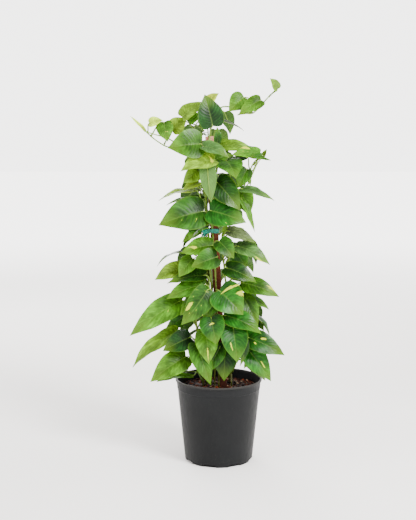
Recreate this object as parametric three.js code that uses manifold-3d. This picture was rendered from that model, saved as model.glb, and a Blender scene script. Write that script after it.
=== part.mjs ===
// A golden pothos climbing a rough-sawn stake in a round nursery pot.
// Millimetres, +Z up, +X to the right, the side that is seen first faces -Y.
// The origin is the middle of the flat underside of the pot.

import * as THREE from 'three';
import { mergeVertices } from 'three/addons/utils/BufferGeometryUtils.js';
import Module from 'manifold-3d';

const wasm = await Module();
wasm.setup();

// Driving dimensions

const POT_HEIGHT = 246;
const RIM_RADIUS = 129;
const BASE_RADIUS = 101.5;
const POT_WALL = 2;
const FLOOR_THICKNESS = 2.6;
const LIP_HEIGHT = 7;
const LIP_REACH = 3.2;
const BAND_DROP = 22;
const BAND_REACH = 1.1;
const RIM_ROUNDING = 1.5;
const BASE_ROUNDING = 5;
const POT_SIDES = 36;
const DRAIN_NOTCHES = 8;
const NOTCH_WIDTH = 40;
const NOTCH_HEIGHT = 7;
const NOTCH_DEPTH = 9;
const FIRST_NOTCH_TURN = 27.9;

const SOIL_TOP = 218;
const SOIL_CROWN = 5;
const SOIL_SIDES = 32;
const SOIL_SHOULDER = 62;
const FACET_ALLOWANCE = 0.9;
const CLEARANCE = 0.35;

const STAKE_WIDTH = 24;
const STAKE_THICKNESS = 22;
const STAKE_CHAMFER = 1.5;
const STAKE_TOP = 963;
const STAKE_FOOT = 62;
const STAKE_FOOT_X = 21;
const STAKE_LEAN = 0.0549;

const STEM_RADIUS = 3.1;
const STEM_SIDES = 5;
const STEM_FOOT = 170;
const PETIOLE_RADIUS = 1.9;
const PETIOLE_STEPS = 3;
const PETIOLE_LENGTHS = [28, 92];
const SHARPEST_BEND = -0.25;
const BLADE_THICKNESS = 1.3;
const BLADE_STEPS = [[125, 6], [92, 5], [50, 4]];
const EDGE_CURL = 0.16;
const WAVE_HEIGHT = 0.022;
const WAVE_TURNS = 9;
const LEAF_FOLD = [0.2, 0.42];

const SEED = 20;

const TIE_BOTTOM = 681;
const TIE_HEIGHT = 13;
const TIE_THICKNESS = 1.4;
const TIE_OFFSET = -9.5;
const TIE_HALF_WIDTH = 22.2;
const TIE_HALF_DEPTH = 20;
const TIE_CORNER = 5;
const KNOT_SIZE = [8, 5, 6.5];
const TAIL_SIZE = [5.5, 1.4, 24];
const TAIL_SLANT = 0.5;

const COLOURS = {
  pot: [0x434343, 0.42],
  mix: [0x2a1610, 0.95],
  stake: [0x7c4a33, 0.85],
  tie: [0x1f9a86, 0.45],
  leaf: [0x4f8a2f, 0.35],
};

// The front drawing. The leaves and runners that show from the front are set out on an
// upright board: across and rise are measured on it from its centre, and ahead is how far
// the point stands in front of the plant's own middle plane. The eye and the board give
// each point its real place.

const EYE = new THREE.Vector3(-32, -2800, 940);
const EYE_PITCH = THREE.MathUtils.degToRad(6.92);
const BOARD_DISTANCE = 2871;

function fromBoard(across, rise, ahead) {
  const slope = rise / BOARD_DISTANCE;
  const reach = (-ahead - EYE.y) / (Math.cos(EYE_PITCH) + slope * Math.sin(EYE_PITCH));
  const height = EYE.z - reach * (Math.sin(EYE_PITCH) - slope * Math.cos(EYE_PITCH));
  return new THREE.Vector3(EYE.x + reach * across / BOARD_DISTANCE, -ahead, height);
}

function besideStake(height, sideways, depth) {
  return new THREE.Vector3(stakeCentre(height) + sideways, depth, height);
}

function stakeCentre(height) {
  return STAKE_FOOT_X - STAKE_LEAN * (height - STAKE_FOOT);
}

// The stems. Each one stands in its own hole in the mix and is a smooth line through
// these points. The climbing ones run along the stake and through the tie.

const STEM_PATHS = {
  front_left: [
    [-24, -10, 300], [-16, -14, 400],
    ['stake', 540, -18, -10], ['stake', 690, -18, -9], ['stake', 790, -19.5, -10],
    ['stake', 850, -20, -11], ['stake', 890, -25, -13],
    ['board', -78, 342, 18], ['board', -120, 339, 16], ['board', -144, 351, 15],
    ['board', -165, 366, 14], ['board', -189, 388, 14],
  ],
  front_right: [
    [0, -24, 300], [-4, -19, 400],
    ['stake', 540, -4, -15.5], ['stake', 690, -5, -15.5], ['stake', 900, -3, -15.5],
    ['stake', 985, 6, -16], ['board', 36, 456, 16], ['board', 63, 460, 12],
    ['board', 96, 452, 8], ['board', 132, 440, 6], ['board', 162, 468, 6],
    ['board', 186, 494, 6], ['board', 206, 513, 8],
  ],
  crown: [
    [6, 24, 300],
    ['stake', 430, -2, 17], ['stake', 520, -3, 16], ['stake', 690, -3, 16], ['stake', 940, -4, 16.2],
    ['stake', 990, -6, 16], ['board', -24, 405, -10], ['board', -30, 436, -6],
    ['board', -27, 464, -4],
  ],
  left: [
    [-36, 6, 300], [-26, 2, 420],
    ['stake', 560, -25, 1], ['stake', 690, -25, 1], ['stake', 800, -25, 2],
    ['board', -36, 222, -2],
  ],
  right: [
    [38, 6, 300], [36, -2, 420],
    ['stake', 560, 24, -3], ['stake', 690, 26, -2], ['board', 84, 168, 4],
    ['board', 102, 210, 6], ['board', 117, 242, 8], ['board', 129, 276, 8],
    ['board', 144, 300, 10], ['board', 163, 308, 12],
  ],
  low_left: [
    [-46, -16, 290], [-62, -32, 370], [-66, -34, 440], [-60, -28, 500],
  ],
  front_low: [
    [-12, -30, 290], [-8, -38, 340], [-4, -44, 390], [0, -46, 440],
  ],
  low_right: [
    [38, -14, 290], [58, -26, 370], [66, -28, 440], [64, -22, 505],
  ],
  back_left: [
    [-24, 32, 300], [-17, 20, 400],
    ['stake', 520, -17.5, 10.5], ['stake', 690, -17.5, 10.5], ['stake', 860, -18, 14],
    [-46, 26, 905], [-58, 40, 950],
  ],
  back_right: [
    [32, 32, 300], [22, 22, 400],
    ['stake', 520, 9, 15.6], ['stake', 690, 8, 15.6], ['stake', 840, 9, 18],
    [-2, 28, 880], [10, 42, 922],
  ],
  back_low: [
    [4, 52, 300], [2, 62, 380], [-2, 60, 460], [-4, 54, 530],
  ],
};

// The leaves that show from the front, stem by stem. Each row gives the place on the
// front drawing where the petiole meets the blade, the place of the tip, the width, the
// way that the upper face looks (right, towards the eye, up) and how far the midrib arches.

const FRONT_LEAVES = {
  front_left: [
    [[-22, 348, 45], [-121, 336, 66], 92, [-0.08, 0.95, 0.28], 0.08],
    [[20, 300, 62], [-82, 266, 75], 75, [-0.1, 0.65, 0.75], 0.1],
    [[-12, 146, 35], [-149, 104, 62], 108, [-0.05, 0.92, 0.4], 0.1],
    [[27, 9, 72], [-51, -21, 88], 66, [-0.05, 0.95, 0.35], 0.08],
    [[-2, -90, 84], [-81, -195, 98], 76, [0.35, 0.95, 0.1], 0.08],
    [[-9, -74, 50], [-126, -118, 60], 68, [-0.1, 0.75, 0.65], 0.1],
    [[14, 44, 48], [-82, 20, 60], 66, [-0.1, 0.8, 0.55], 0.08],
    [[-27, 267, 38], [-76, 230, 50], 48, [-0.1, 1, 0.2], 0.08],
    [[-3, 272, 40], [-26, 244, 42], 28, [-0.2, 1, 0.1], 0.05],
    [[-132, 413, 15], [-121, 355, 20], 52, [-0.1, 1, 0.1], 0.08],
    [[-108, 390, 5], [-64, 424, -3], 60, [0, 0.8, 0.6], 0.08],
    [[-176, 410, 20], [-136, 419, 25], 38, [0, 0.75, 0.6], 0.05],
    [[-189, 388, 20], [-234, 432, 25], 12, [-0.3, 0.5, 0.8], 0.03],
    [[-15, 341, 28], [63, 306, 42], 50, [0.1, 0.7, 0.7], 0.1],
  ],
  front_right: [
    [[-2, 286, 76], [10, 172, 64], 50, [0.1, -1, 0.1], -0.12],
    [[4, 149, 48], [115, 112, 62], 88, [0.05, 0.92, 0.4], 0.08],
    [[24, 236, 50], [98, 148, 78], 80, [0.1, 1, 0.25], 0.08],
    [[54, 298, 28], [84, 243, 95], 84, [0.05, 0.55, 0.85], 0.1],
    [[34, -92, 78], [106, -165, 98], 102, [0.2, 0.95, 0.2], 0.08],
    [[33, 56, 58], [78, 4, 75], 58, [0.1, 0.9, 0.45], 0.1],
    [[18, -112, 50], [-10, -185, 66], 58, [-0.2, 1, 0.1], 0.08],
    [[108, 488, 12], [62, 445, 25], 60, [-0.1, 1, 0.3], 0.06],
    [[159, 480, 10], [94, 440, 22], 48, [0, 0.9, 0.45], 0.06],
    [[133, 444, 5], [87, 434, 20], 24, [0, 0.6, 0.8], 0.06],
    [[209, 513, 10], [186, 545, 20], 35, [0.4, 0.8, 0.4], 0.05],
    [[18, 300, 22], [74, 316, 20], 36, [0, 0.8, 0.6], 0.06],
  ],
  low_left: [
    [[-81, -121, 30], [-235, -228, 52], 80, [-0.15, 0.9, 0.4], 0.1],
    [[-54, -232, 38], [-136, -273, 52], 68, [-0.1, 0.95, 0.35], 0.08],
    [[-66, -290, 35], [-173, -366, 60], 78, [-0.15, 0.9, 0.45], 0.1],
    [[-90, -214, 5], [-226, -322, 20], 56, [-0.3, 0.7, 0.65], 0.12],
    [[-33, -116, 60], [-84, -166, 72], 50, [-0.1, 1, 0.2], 0.08],
    [[-51, -291, 30], [-57, -318, 32], 15, [0, 1, 0], 0.05],
    [[-48, -348, 30], [-129, -356, 38], 21, [0, 0.5, 0.9], 0.05],
    [[-84, -336, 20], [-155, -366, 30], 30, [-0.1, 0.75, 0.6], 0.06],
    [[-72, -172, -10], [-128, -208, -5], 40, [0, 1, 0.2], 0.06],
  ],
  front_low: [
    [[75, -201, 86], [88, -309, 108], 81, [0.05, 1, 0.2], 0.08],
    [[9, -172, 88], [26, -254, 110], 76, [-0.1, 1, 0.25], 0.08],
    [[-6, -211, 72], [2, -313, 96], 70, [0, 1, 0.2], 0.08],
    [[-36, -250, 62], [8, -375, 94], 64, [0.1, 1, 0.1], 0.08],
    [[51, -253, 40], [48, -364, 66], 80, [0, 1, 0.15], 0.06],
    [[36, -262, 58], [-9, -342, 74], 52, [0.05, 1, 0.2], 0.06],
    [[48, -166, 58], [160, -222, 70], 72, [0.05, 0.72, 0.7], 0.12],
  ],
  low_right: [
    [[117, -231, 50], [230, -286, 62], 68, [0.1, 0.87, 0.45], 0.1],
    [[118, -266, 34], [189, -364, 58], 72, [0.22, 0.95, 0.2], 0.08],
    [[106, -109, 5], [184, -149, 10], 46, [0.2, 0.55, 0.8], 0.08],
    [[105, -112, 12], [150, -196, 30], 58, [0.2, 1, 0.2], 0.08],
    [[141, -172, 0], [168, -214, 5], 26, [0.2, 0.8, 0.4], 0.06],
    [[69, -189, 68], [108, -202, 76], 21, [0.1, 0.6, 0.8], 0.08],
    [[114, -243, 60], [96, -318, 72], 27, [0.5, 0.8, 0], 0.06],
    [[117, -300, 20], [172, -362, 35], 40, [0.3, 0.8, 0.5], 0.08],
    [[120, -300, 42], [108, -326, 46], 15, [0, 1, 0], 0.05],
  ],
  right: [
    [[54, -23, 55], [145, -68, 70], 60, [0.1, 0.8, 0.55], 0.1],
    [[102, -68, 30], [214, -111, 42], 62, [0.15, 0.8, 0.55], 0.1],
    [[87, 42, 35], [186, -15, 55], 54, [0.15, 0.75, 0.68], 0.12],
    [[57, 99, 8], [42, 70, 12], 21, [0, 1, 0], 0.06],
    [[60, 87, 20], [144, 50, 30], 42, [0.2, 0.75, 0.6], 0.1],
    [[99, 212, 10], [124, 132, 15], 60, [0.2, 1, 0], 0.06],
    [[99, 186, 24], [140, 84, 28], 24, [0.5, 0.8, 0.2], 0.06],
    [[99, 214, 10], [198, 178, 20], 42, [0.15, 0.5, 0.85], 0.08],
    [[156, 320, 20], [70, 314, 35], 50, [0, 0.75, 0.65], 0.1],
    [[162, 314, 15], [126, 308, 18], 18, [0, 0.8, 0.5], 0.05],
    [[164, 309, 20], [177, 333, 25], 15, [-0.5, 0.8, 0], 0.05],
    [[159, 304, 20], [189, 298, 28], 12, [0, 0.6, 0.8], 0.05],
    [[114, 310, 5], [69, 298, 10], 30, [0, 0.7, 0.7], 0.06],
    [[117, 273, 5], [90, 216, 8], 46, [-0.1, 1, 0.1], 0.06],
    [[117, 261, 14], [128, 222, 16], 18, [0.2, 1, 0], 0.05],
    [[120, 255, 20], [134, 248, 24], 9, [0, 0.8, 0.5], 0.05],
    [[84, 24, 0], [117, -24, 0], 52, [0.1, 1, 0], 0.06],
  ],
  left: [
    [[-45, 4, 40], [-88, -52, 52], 54, [-0.2, 0.95, 0.3], 0.08],
    [[-9, -46, 28], [-122, -70, 30], 50, [0, 0.68, 0.72], 0.08],
    [[-76, -22, 10], [-160, -60, 15], 54, [-0.1, 0.85, 0.5], 0.08],
    [[-78, 24, 10], [-153, -20, 15], 24, [0.3, 0.05, 1], 0.14],
    [[-24, 90, 15], [-78, 52, 25], 32, [-0.2, 0.8, 0.5], 0.08],
    [[-42, 210, 15], [-148, 178, 25], 36, [-0.1, 0.35, 0.9], 0.1],
    [[-27, 233, 30], [-78, 207, 38], 32, [-0.1, 0.7, 0.7], 0.08],
    [[-15, 183, 5], [-126, 164, 10], 36, [0, 0.3, 1], 0.08],
  ],
  crown: [
    [[14, 402, 25], [-10, 497, 22], 80, [0.2, 1, 0.1], 0.05],
    [[-4, 470, -10], [33, 500, -5], 36, [0, 0.8, 0.6], 0.08],
    [[-78, 430, 15], [-14, 474, 5], 56, [-0.2, 0.75, 0.6], 0.06],
    [[-58, 414, -5], [-12, 440, -10], 34, [0, 0.8, 0.6], 0.06],
    [[27, 351, -5], [27, 400, -5], 28, [0.5, 0.8, 0], 0.06],
    [[18, 414, 8], [108, 387, 12], 27, [0.2, 0.3, 1], 0.12],
    [[30, 344, 12], [147, 326, 16], 46, [0, 0.8, 0.6], 0.08],
  ],
};

// The sides that the front drawing doesn't show are leafed by a rule. Leaves alternate up
// each stem, and turn out and droop as the seen ones do.

const BACK_STEMS = {
  back_left: { leaves: 15, lowest: 430, highest: 975, facing: 122, spread: 50 },
  back_right: { leaves: 15, lowest: 410, highest: 955, facing: 58, spread: 50 },
  back_low: { leaves: 11, lowest: 335, highest: 540, facing: 90, spread: 76 },
  left: { leaves: 11, lowest: 480, highest: 830, facing: 160, spread: 30 },
  right: { leaves: 10, lowest: 400, highest: 880, facing: 20, spread: 30 },
  low_left: { leaves: 5, lowest: 330, highest: 480, facing: 160, spread: 32 },
  low_right: { leaves: 5, lowest: 320, highest: 470, facing: 20, spread: 32 },
  crown: { leaves: 4, lowest: 940, highest: 1030, facing: 92, spread: 34 },
};
// How far to the left and to the right the foliage reaches, by height
const SIDE_ROOM = [
  [300, 130, 120], [480, 130, 120], [640, 105, 115], [700, 90, 85], [780, 95, 90],
  [840, 80, 85], [900, 75, 80], [960, 50, 45], [1100, 40, 40],
];
const BACK_LEAF_LENGTH = [72, 118];
const BACK_JOINT_REACH = [46, 84];
const BACK_DROOP = [0.3, 0.95];

// Places tried in turn for a leaf that would touch another: how far its joint and its tip
// come forward, in mm.

const SHIFTS = [
  [0, 0], [7, 7], [-7, -7], [0, 12], [0, -12], [14, 14], [-14, -14], [8, 24], [-8, -24],
  [22, 22], [-22, -22], [0, 28], [0, -28], [32, 32], [-32, -32], [20, 44], [-20, -44],
  [44, 44], [-44, -44], [60, 60], [-60, -60],
];
const ROOT_CHOICES = [0, 2, 4, 7];
const PETIOLE_LIFTS = [0.35, 0.1, 0.6];

// Chance, the same on every run

function seededDraws(seed) {
  let state = seed >>> 0;
  return () => {
    state = (state + 0x6d2b79f5) >>> 0;
    let mixed = Math.imul(state ^ (state >>> 15), state | 1);
    mixed ^= mixed + Math.imul(mixed ^ (mixed >>> 7), mixed | 61);
    return ((mixed ^ (mixed >>> 14)) >>> 0) / 4294967296;
  };
}

const between = THREE.MathUtils.lerp;
const up = new THREE.Vector3(0, 0, 1);

// Solids

function toSolid(geometry) {
  const bare = geometry.clone();
  bare.deleteAttribute('normal');
  bare.deleteAttribute('uv');
  const merged = mergeVertices(bare, 1e-4);
  const index = Array.from(merged.index.array);
  const triVerts = [];
  for (let i = 0; i < index.length; i += 3) {
    const [a, b, c] = index.slice(i, i + 3);
    if (a !== b && b !== c && c !== a) triVerts.push(a, b, c);
  }
  return new wasm.Manifold(new wasm.Mesh({
    numProp: 3,
    vertProperties: new Float32Array(merged.attributes.position.array),
    triVerts: new Uint32Array(triVerts),
  }));
}

function toGeometry(solid) {
  const mesh = solid.getMesh();
  const geometry = new THREE.BufferGeometry();
  geometry.setAttribute('position', new THREE.BufferAttribute(mesh.vertProperties, 3));
  geometry.setIndex(new THREE.BufferAttribute(mesh.triVerts, 1));
  geometry.computeVertexNormals();
  return geometry;
}

function join(solids) {
  return solids.reduce((whole, piece) => whole.add(piece));
}

function regularOutline(radius, sides) {
  const corners = [];
  for (let i = 0; i < sides; i += 1) {
    const turn = (i / sides) * 2 * Math.PI;
    corners.push(new THREE.Vector2(radius * Math.cos(turn), radius * Math.sin(turn)));
  }
  return new THREE.Shape(corners);
}

function tube(path, radius, sides, steps) {
  const settings = { steps, extrudePath: path, bevelEnabled: false };
  return toSolid(new THREE.ExtrudeGeometry(regularOutline(radius, sides), settings));
}

function lathe(profile, sides) {
  const points = profile.map(([radius, height]) => new THREE.Vector2(radius, height));
  const geometry = new THREE.LatheGeometry(points, sides);
  geometry.rotateX(Math.PI / 2);
  return geometry;
}

function block(width, depth, height, x, y, z) {
  const geometry = new THREE.BoxGeometry(width, depth, height);
  geometry.translate(x, y, z);
  return geometry;
}

// The pot

function potRadius(height) {
  const wallTop = RIM_RADIUS - LIP_REACH;
  return between(BASE_RADIUS, wallTop, height / POT_HEIGHT);
}

function makePot() {
  const lipFoot = POT_HEIGHT - LIP_HEIGHT;
  const band = lipFoot - BAND_DROP;
  const inner = (height) => potRadius(height) - POT_WALL;
  const profile = [
    [0, 0],
    [BASE_RADIUS - BASE_ROUNDING, 0],
    [BASE_RADIUS - BASE_ROUNDING * 0.3, BASE_ROUNDING * 0.3],
    [BASE_RADIUS, BASE_ROUNDING],
    [potRadius(band), band],
    [potRadius(band + 2) + BAND_REACH, band + 2],
    [potRadius(lipFoot) + BAND_REACH, lipFoot],
    [RIM_RADIUS, lipFoot + 1],
    [RIM_RADIUS, POT_HEIGHT - RIM_ROUNDING],
    [RIM_RADIUS - RIM_ROUNDING, POT_HEIGHT],
    [inner(POT_HEIGHT) + 0.4, POT_HEIGHT],
    [inner(POT_HEIGHT) - 0.6, POT_HEIGHT - RIM_ROUNDING],
    [inner(FLOOR_THICKNESS), FLOOR_THICKNESS],
    [0, FLOOR_THICKNESS],
  ];
  let pot = toSolid(lathe(profile, POT_SIDES));
  for (let i = 0; i < DRAIN_NOTCHES; i += 1) {
    const cutter = block(NOTCH_DEPTH * 2, NOTCH_WIDTH, NOTCH_HEIGHT * 2, BASE_RADIUS, 0, 0);
    cutter.rotateZ(THREE.MathUtils.degToRad(FIRST_NOTCH_TURN + (i * 360) / DRAIN_NOTCHES));
    pot = pot.subtract(toSolid(cutter));
  }
  return pot;
}

// The potting mix, with a plain hole for the stake and for each stem

function makeMix(stakeHole, stemHoles) {
  const gap = CLEARANCE / Math.cos(Math.PI / POT_SIDES) + FACET_ALLOWANCE;
  const inner = (height) => potRadius(height) - POT_WALL - gap;
  const bottom = FLOOR_THICKNESS + CLEARANCE;
  const profile = [
    [0, bottom],
    [inner(bottom), bottom],
    [inner(SOIL_TOP - 3), SOIL_TOP - 3],
    [inner(SOIL_TOP) - 8, SOIL_TOP + 1],
    [SOIL_SHOULDER, SOIL_TOP + SOIL_CROWN - 2],
    [SOIL_SHOULDER / 2, SOIL_TOP + SOIL_CROWN],
    [0, SOIL_TOP + SOIL_CROWN],
  ];
  let soil = toSolid(lathe(profile, SOIL_SIDES));
  for (const hole of [stakeHole, ...stemHoles]) soil = soil.subtract(hole);
  return soil;
}

// The stake, a sawn slat with its edges eased

function slat(grow) {
  const halfWidth = STAKE_WIDTH / 2 + grow;
  const halfDepth = STAKE_THICKNESS / 2 + grow;
  const ease = STAKE_CHAMFER;
  const outline = new THREE.Shape([
    new THREE.Vector2(-halfWidth + ease, -halfDepth),
    new THREE.Vector2(halfWidth - ease, -halfDepth),
    new THREE.Vector2(halfWidth, -halfDepth + ease),
    new THREE.Vector2(halfWidth, halfDepth - ease),
    new THREE.Vector2(halfWidth - ease, halfDepth),
    new THREE.Vector2(-halfWidth + ease, halfDepth),
    new THREE.Vector2(-halfWidth, halfDepth - ease),
    new THREE.Vector2(-halfWidth, -halfDepth + ease),
  ]);
  const foot = STAKE_FOOT - grow;
  const length = STAKE_TOP - foot;
  const geometry = new THREE.ExtrudeGeometry(outline, { depth: length, bevelEnabled: false });
  geometry.rotateY(-Math.atan(STAKE_LEAN));
  geometry.translate(stakeCentre(foot), 0, foot);
  return toSolid(geometry);
}

// The tie, a flat tape round the stake and the climbing stems, with its knot and tail

function makeTie() {
  const ring = (growth) => {
    const halfWidth = TIE_HALF_WIDTH + growth;
    const halfDepth = TIE_HALF_DEPTH + growth;
    const corner = TIE_CORNER + growth;
    const path = new THREE.Path();
    path.moveTo(halfWidth, -halfDepth + corner);
    path.lineTo(halfWidth, halfDepth - corner);
    path.absarc(halfWidth - corner, halfDepth - corner, corner, 0, Math.PI / 2);
    path.absarc(-halfWidth + corner, halfDepth - corner, corner, Math.PI / 2, Math.PI);
    path.absarc(-halfWidth + corner, -halfDepth + corner, corner, Math.PI, 1.5 * Math.PI);
    path.absarc(halfWidth - corner, -halfDepth + corner, corner, 1.5 * Math.PI, 2 * Math.PI);
    return path.getPoints(3);
  };
  const outline = new THREE.Shape(ring(TIE_THICKNESS));
  outline.holes.push(new THREE.Path(ring(0)));
  const loop = new THREE.ExtrudeGeometry(outline, { depth: TIE_HEIGHT, bevelEnabled: false });
  const middle = stakeCentre(TIE_BOTTOM + TIE_HEIGHT / 2) + TIE_OFFSET;
  loop.translate(middle, 0, TIE_BOTTOM);
  const left = middle - TIE_HALF_WIDTH;
  const front = -TIE_HALF_DEPTH - TIE_THICKNESS;
  const knot = new THREE.SphereGeometry(1, 8, 6);
  knot.scale(...KNOT_SIZE);
  knot.translate(left + 3, front - 2, TIE_BOTTOM + 5);
  const tail = block(...TAIL_SIZE, 0, 0, 1 - TAIL_SIZE[2] / 2);
  tail.rotateY(TAIL_SLANT);
  tail.translate(left + 1, front - 2.5, TIE_BOTTOM + 4);
  return join([toSolid(loop), toSolid(knot), toSolid(tail)]);
}

// Stems

function stemPoint(entry) {
  if (entry[0] === 'stake') return besideStake(entry[1], entry[2], entry[3]);
  if (entry[0] === 'board') return fromBoard(entry[1], entry[2], entry[3]);
  return new THREE.Vector3(...entry);
}

function stemPoints(name) {
  const route = STEM_PATHS[name].map(stemPoint);
  const [first] = route;
  const foot = new THREE.Vector3(first.x, first.y, STEM_FOOT);
  const collar = new THREE.Vector3(first.x, first.y, SOIL_TOP + SOIL_CROWN + 6);
  return [foot, collar, ...route];
}

function stemPath(name) {
  return new THREE.CatmullRomCurve3(stemPoints(name), false, 'centripetal');
}

function stemSteps(name) {
  return Math.round(STEM_PATHS[name].length * 1.4) + 3;
}

function makeStem(name) {
  return tube(stemPath(name), STEM_RADIUS, STEM_SIDES, stemSteps(name));
}

// Places on the stem's middle line above the mix where a petiole may grow

function stemRoots(name) {
  const line = stemPath(name).getSpacedPoints(stemSteps(name));
  const roots = [];
  for (let i = 0; i + 1 < line.length; i += 1) {
    for (const share of [0.2, 0.5, 0.8]) roots.push(line[i].clone().lerp(line[i + 1], share));
  }
  return roots.filter((point) => point.z > SOIL_TOP + SOIL_CROWN + 12);
}

function stemHole(name) {
  const [foot] = stemPoints(name);
  const bore = STEM_RADIUS + CLEARANCE + 0.4;
  const height = SOIL_TOP + SOIL_CROWN + 4 - STEM_FOOT;
  const geometry = new THREE.CylinderGeometry(bore, bore, height, 8);
  geometry.rotateX(Math.PI / 2);
  geometry.translate(foot.x, foot.y, STEM_FOOT - CLEARANCE + height / 2);
  return toSolid(geometry);
}

// Leaf shape. A blade is a heart outline. Along runs from the petiole joint to the tip as
// a share of the length, and sideways from -1 to 1 as a share of half the width.

function rimAlong(share) {
  return share ** 1.45 - 1.3 * share * (1 - share) ** 3;
}

function rimAside(share) {
  const sharpness = 0.7 + 0.3 * share * share;
  return Math.sin(Math.PI * share) ** sharpness * (1 - 0.25 * share ** 3);
}

function ribAlong(share) {
  return share ** 2.1;
}

function leafFrame(leaf) {
  const forward = leaf.tip.clone().sub(leaf.joint);
  const length = forward.length();
  forward.normalize();
  const side = forward.clone().cross(leaf.facing).normalize();
  return { length, forward, side, normal: side.clone().cross(forward).normalize() };
}

function bladePoint(leaf, frame, aside, along) {
  const { length, forward, side, normal } = frame;
  const half = leaf.width / 2;
  const spread = Math.abs(aside);
  const arch = leaf.arch * length * 4 * along * (1 - along);
  const fold = half * (leaf.fold * spread - EDGE_CURL * spread * spread);
  const wave = WAVE_HEIGHT * length * spread * Math.sin(WAVE_TURNS * along + leaf.phase);
  return leaf.joint.clone()
    .addScaledVector(forward, along * length)
    .addScaledVector(side, aside * half)
    .addScaledVector(normal, arch + fold + wave);
}

// One closed solid for a blade and its petiole. The ring at the joint is a top corner and
// two keel corners, and the petiole carries it back to its root without twisting.

function bladeSteps(length) {
  const long = BLADE_STEPS.find(([least]) => length > least);
  return long ? long[1] : 3;
}

function petioleRings(leaf, frame, bow, growth) {
  const size = (PETIOLE_RADIUS + growth) / 2;
  let normal = frame.normal.clone();
  let side = frame.side.clone();
  let heading = frame.forward.clone();
  return bow.slice(0, -1).reverse().map((centre, i) => {
    const next = bow[bow.length - 1 - i];
    const tangent = next.clone().sub(centre).normalize();
    const turn = new THREE.Quaternion().setFromUnitVectors(heading, tangent);
    normal = normal.applyQuaternion(turn);
    side = side.applyQuaternion(turn);
    heading = tangent;
    return [[2, 0], [-1, 1.73], [-1, -1.73]].map(([rise, aside]) => {
      return centre.clone().addScaledVector(normal, rise * size)
        .addScaledVector(side, aside * size);
    });
  });
}

function makeLeaf(leaf, bow, growth) {
  const frame = leafFrame(leaf);
  const steps = bladeSteps(frame.length);
  const half = BLADE_THICKNESS / 2 + growth;
  const keel = PETIOLE_RADIUS + growth;
  const positions = [];
  const addVertex = (point) => {
    positions.push(point.x, point.y, point.z);
    return positions.length / 3 - 1;
  };
  const addPair = (aside, along) => {
    const middle = bladePoint(leaf, frame, aside, along);
    addVertex(middle.clone().addScaledVector(frame.normal, half));
    return addVertex(middle.addScaledVector(frame.normal, -half)) - 1;
  };
  const top = addVertex(leaf.joint.clone().addScaledVector(frame.normal, half));
  const [keelRight, keelLeft] = [1, -1].map((hand) => {
    return addVertex(leaf.joint.clone().addScaledVector(frame.normal, -keel)
      .addScaledVector(frame.side, hand * keel * 0.85));
  });
  const faces = [];
  const rib = [];
  const edges = { right: [], left: [] };
  for (let i = 1; i <= steps; i += 1) {
    const share = i / steps;
    rib[i] = addPair(0, ribAlong(share));
    const end = i === steps;
    edges.right[i] = end ? rib[i] : addPair(rimAside(share), rimAlong(share));
    edges.left[i] = end ? rib[i] : addPair(-rimAside(share), rimAlong(share));
  }
  for (const [edge, keelCorner] of [[edges.right, keelRight], [edges.left, keelLeft]]) {
    const addFace = (a, b, c) => {
      faces.push(...(edge === edges.right ? [a, b, c] : [a, c, b]));
    };
    addFace(top, edge[1], rib[1]);
    addFace(keelCorner, rib[1] + 1, edge[1] + 1);
    addFace(edge[1], top, keelCorner);
    addFace(edge[1], keelCorner, edge[1] + 1);
    for (let i = 1; i < steps; i += 1) {
      for (const [a, b, c] of [[rib[i], edge[i], rib[i + 1]], [edge[i], edge[i + 1], rib[i + 1]]]) {
        if (b !== c) {
          addFace(a, b, c);
          addFace(a + 1, c + 1, b + 1);
        }
      }
      addFace(edge[i + 1], edge[i], edge[i] + 1);
      addFace(edge[i + 1], edge[i] + 1, edge[i + 1] + 1);
    }
  }
  faces.push(keelRight, keelLeft, rib[1] + 1);
  let ring = [top, keelRight, keelLeft];
  for (const corners of petioleRings(leaf, frame, bow, growth)) {
    const back = corners.map(addVertex);
    ring.forEach((a, i) => {
      const next = (i + 1) % 3;
      faces.push(a, back[i], ring[next], back[i], back[next], ring[next]);
    });
    ring = back;
  }
  faces.push(ring[0], ring[2], ring[1]);
  const geometry = new THREE.BufferGeometry();
  geometry.setAttribute('position', new THREE.Float32BufferAttribute(positions, 3));
  geometry.setIndex(faces);
  return toSolid(geometry);
}

// A petiole leaves the stem below its leaf, rises outwards and bends over into the midrib.

function petioleBow(leaf, root, lift) {
  const frame = leafFrame(leaf);
  const reach = leaf.joint.clone().sub(root);
  const distance = reach.length();
  const outward = new THREE.Vector3(reach.x, reach.y, 0).normalize();
  const arrival = outward.clone().multiplyScalar(0.7)
    .addScaledVector(up, 0.25).addScaledVector(frame.forward, 0.6).normalize();
  const rise = root.clone().addScaledVector(up, lift * distance)
    .addScaledVector(outward, 0.25 * distance);
  const approach = leaf.joint.clone().addScaledVector(arrival, -0.33 * distance);
  return new THREE.CubicBezierCurve3(root, rise, approach, leaf.joint).getPoints(PETIOLE_STEPS);
}

// A bow is sound when no stretch of it is so short or so sharply bent that it would fold.

function isSound(leaf, bow) {
  const headings = bow.slice(1).map((point, i) => point.clone().sub(bow[i]));
  const long = headings.every((heading) => heading.length() > 3 * PETIOLE_RADIUS);
  const line = [...headings.map((heading) => heading.normalize()), leafFrame(leaf).forward];
  return long && line.slice(1).every((heading, i) => heading.dot(line[i]) > SHARPEST_BEND);
}

function rootsByFit(leaf, length, places) {
  const wanted = THREE.MathUtils.clamp(0.8 * length, ...PETIOLE_LENGTHS);
  const fit = (point) => {
    const tooHigh = Math.max(0, point.z - leaf.joint.z + 12);
    return Math.abs(point.distanceTo(leaf.joint) - wanted) + 1.5 * tooHigh;
  };
  return places.slice().sort((a, b) => fit(a) - fit(b));
}

// Leaf lists

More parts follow.
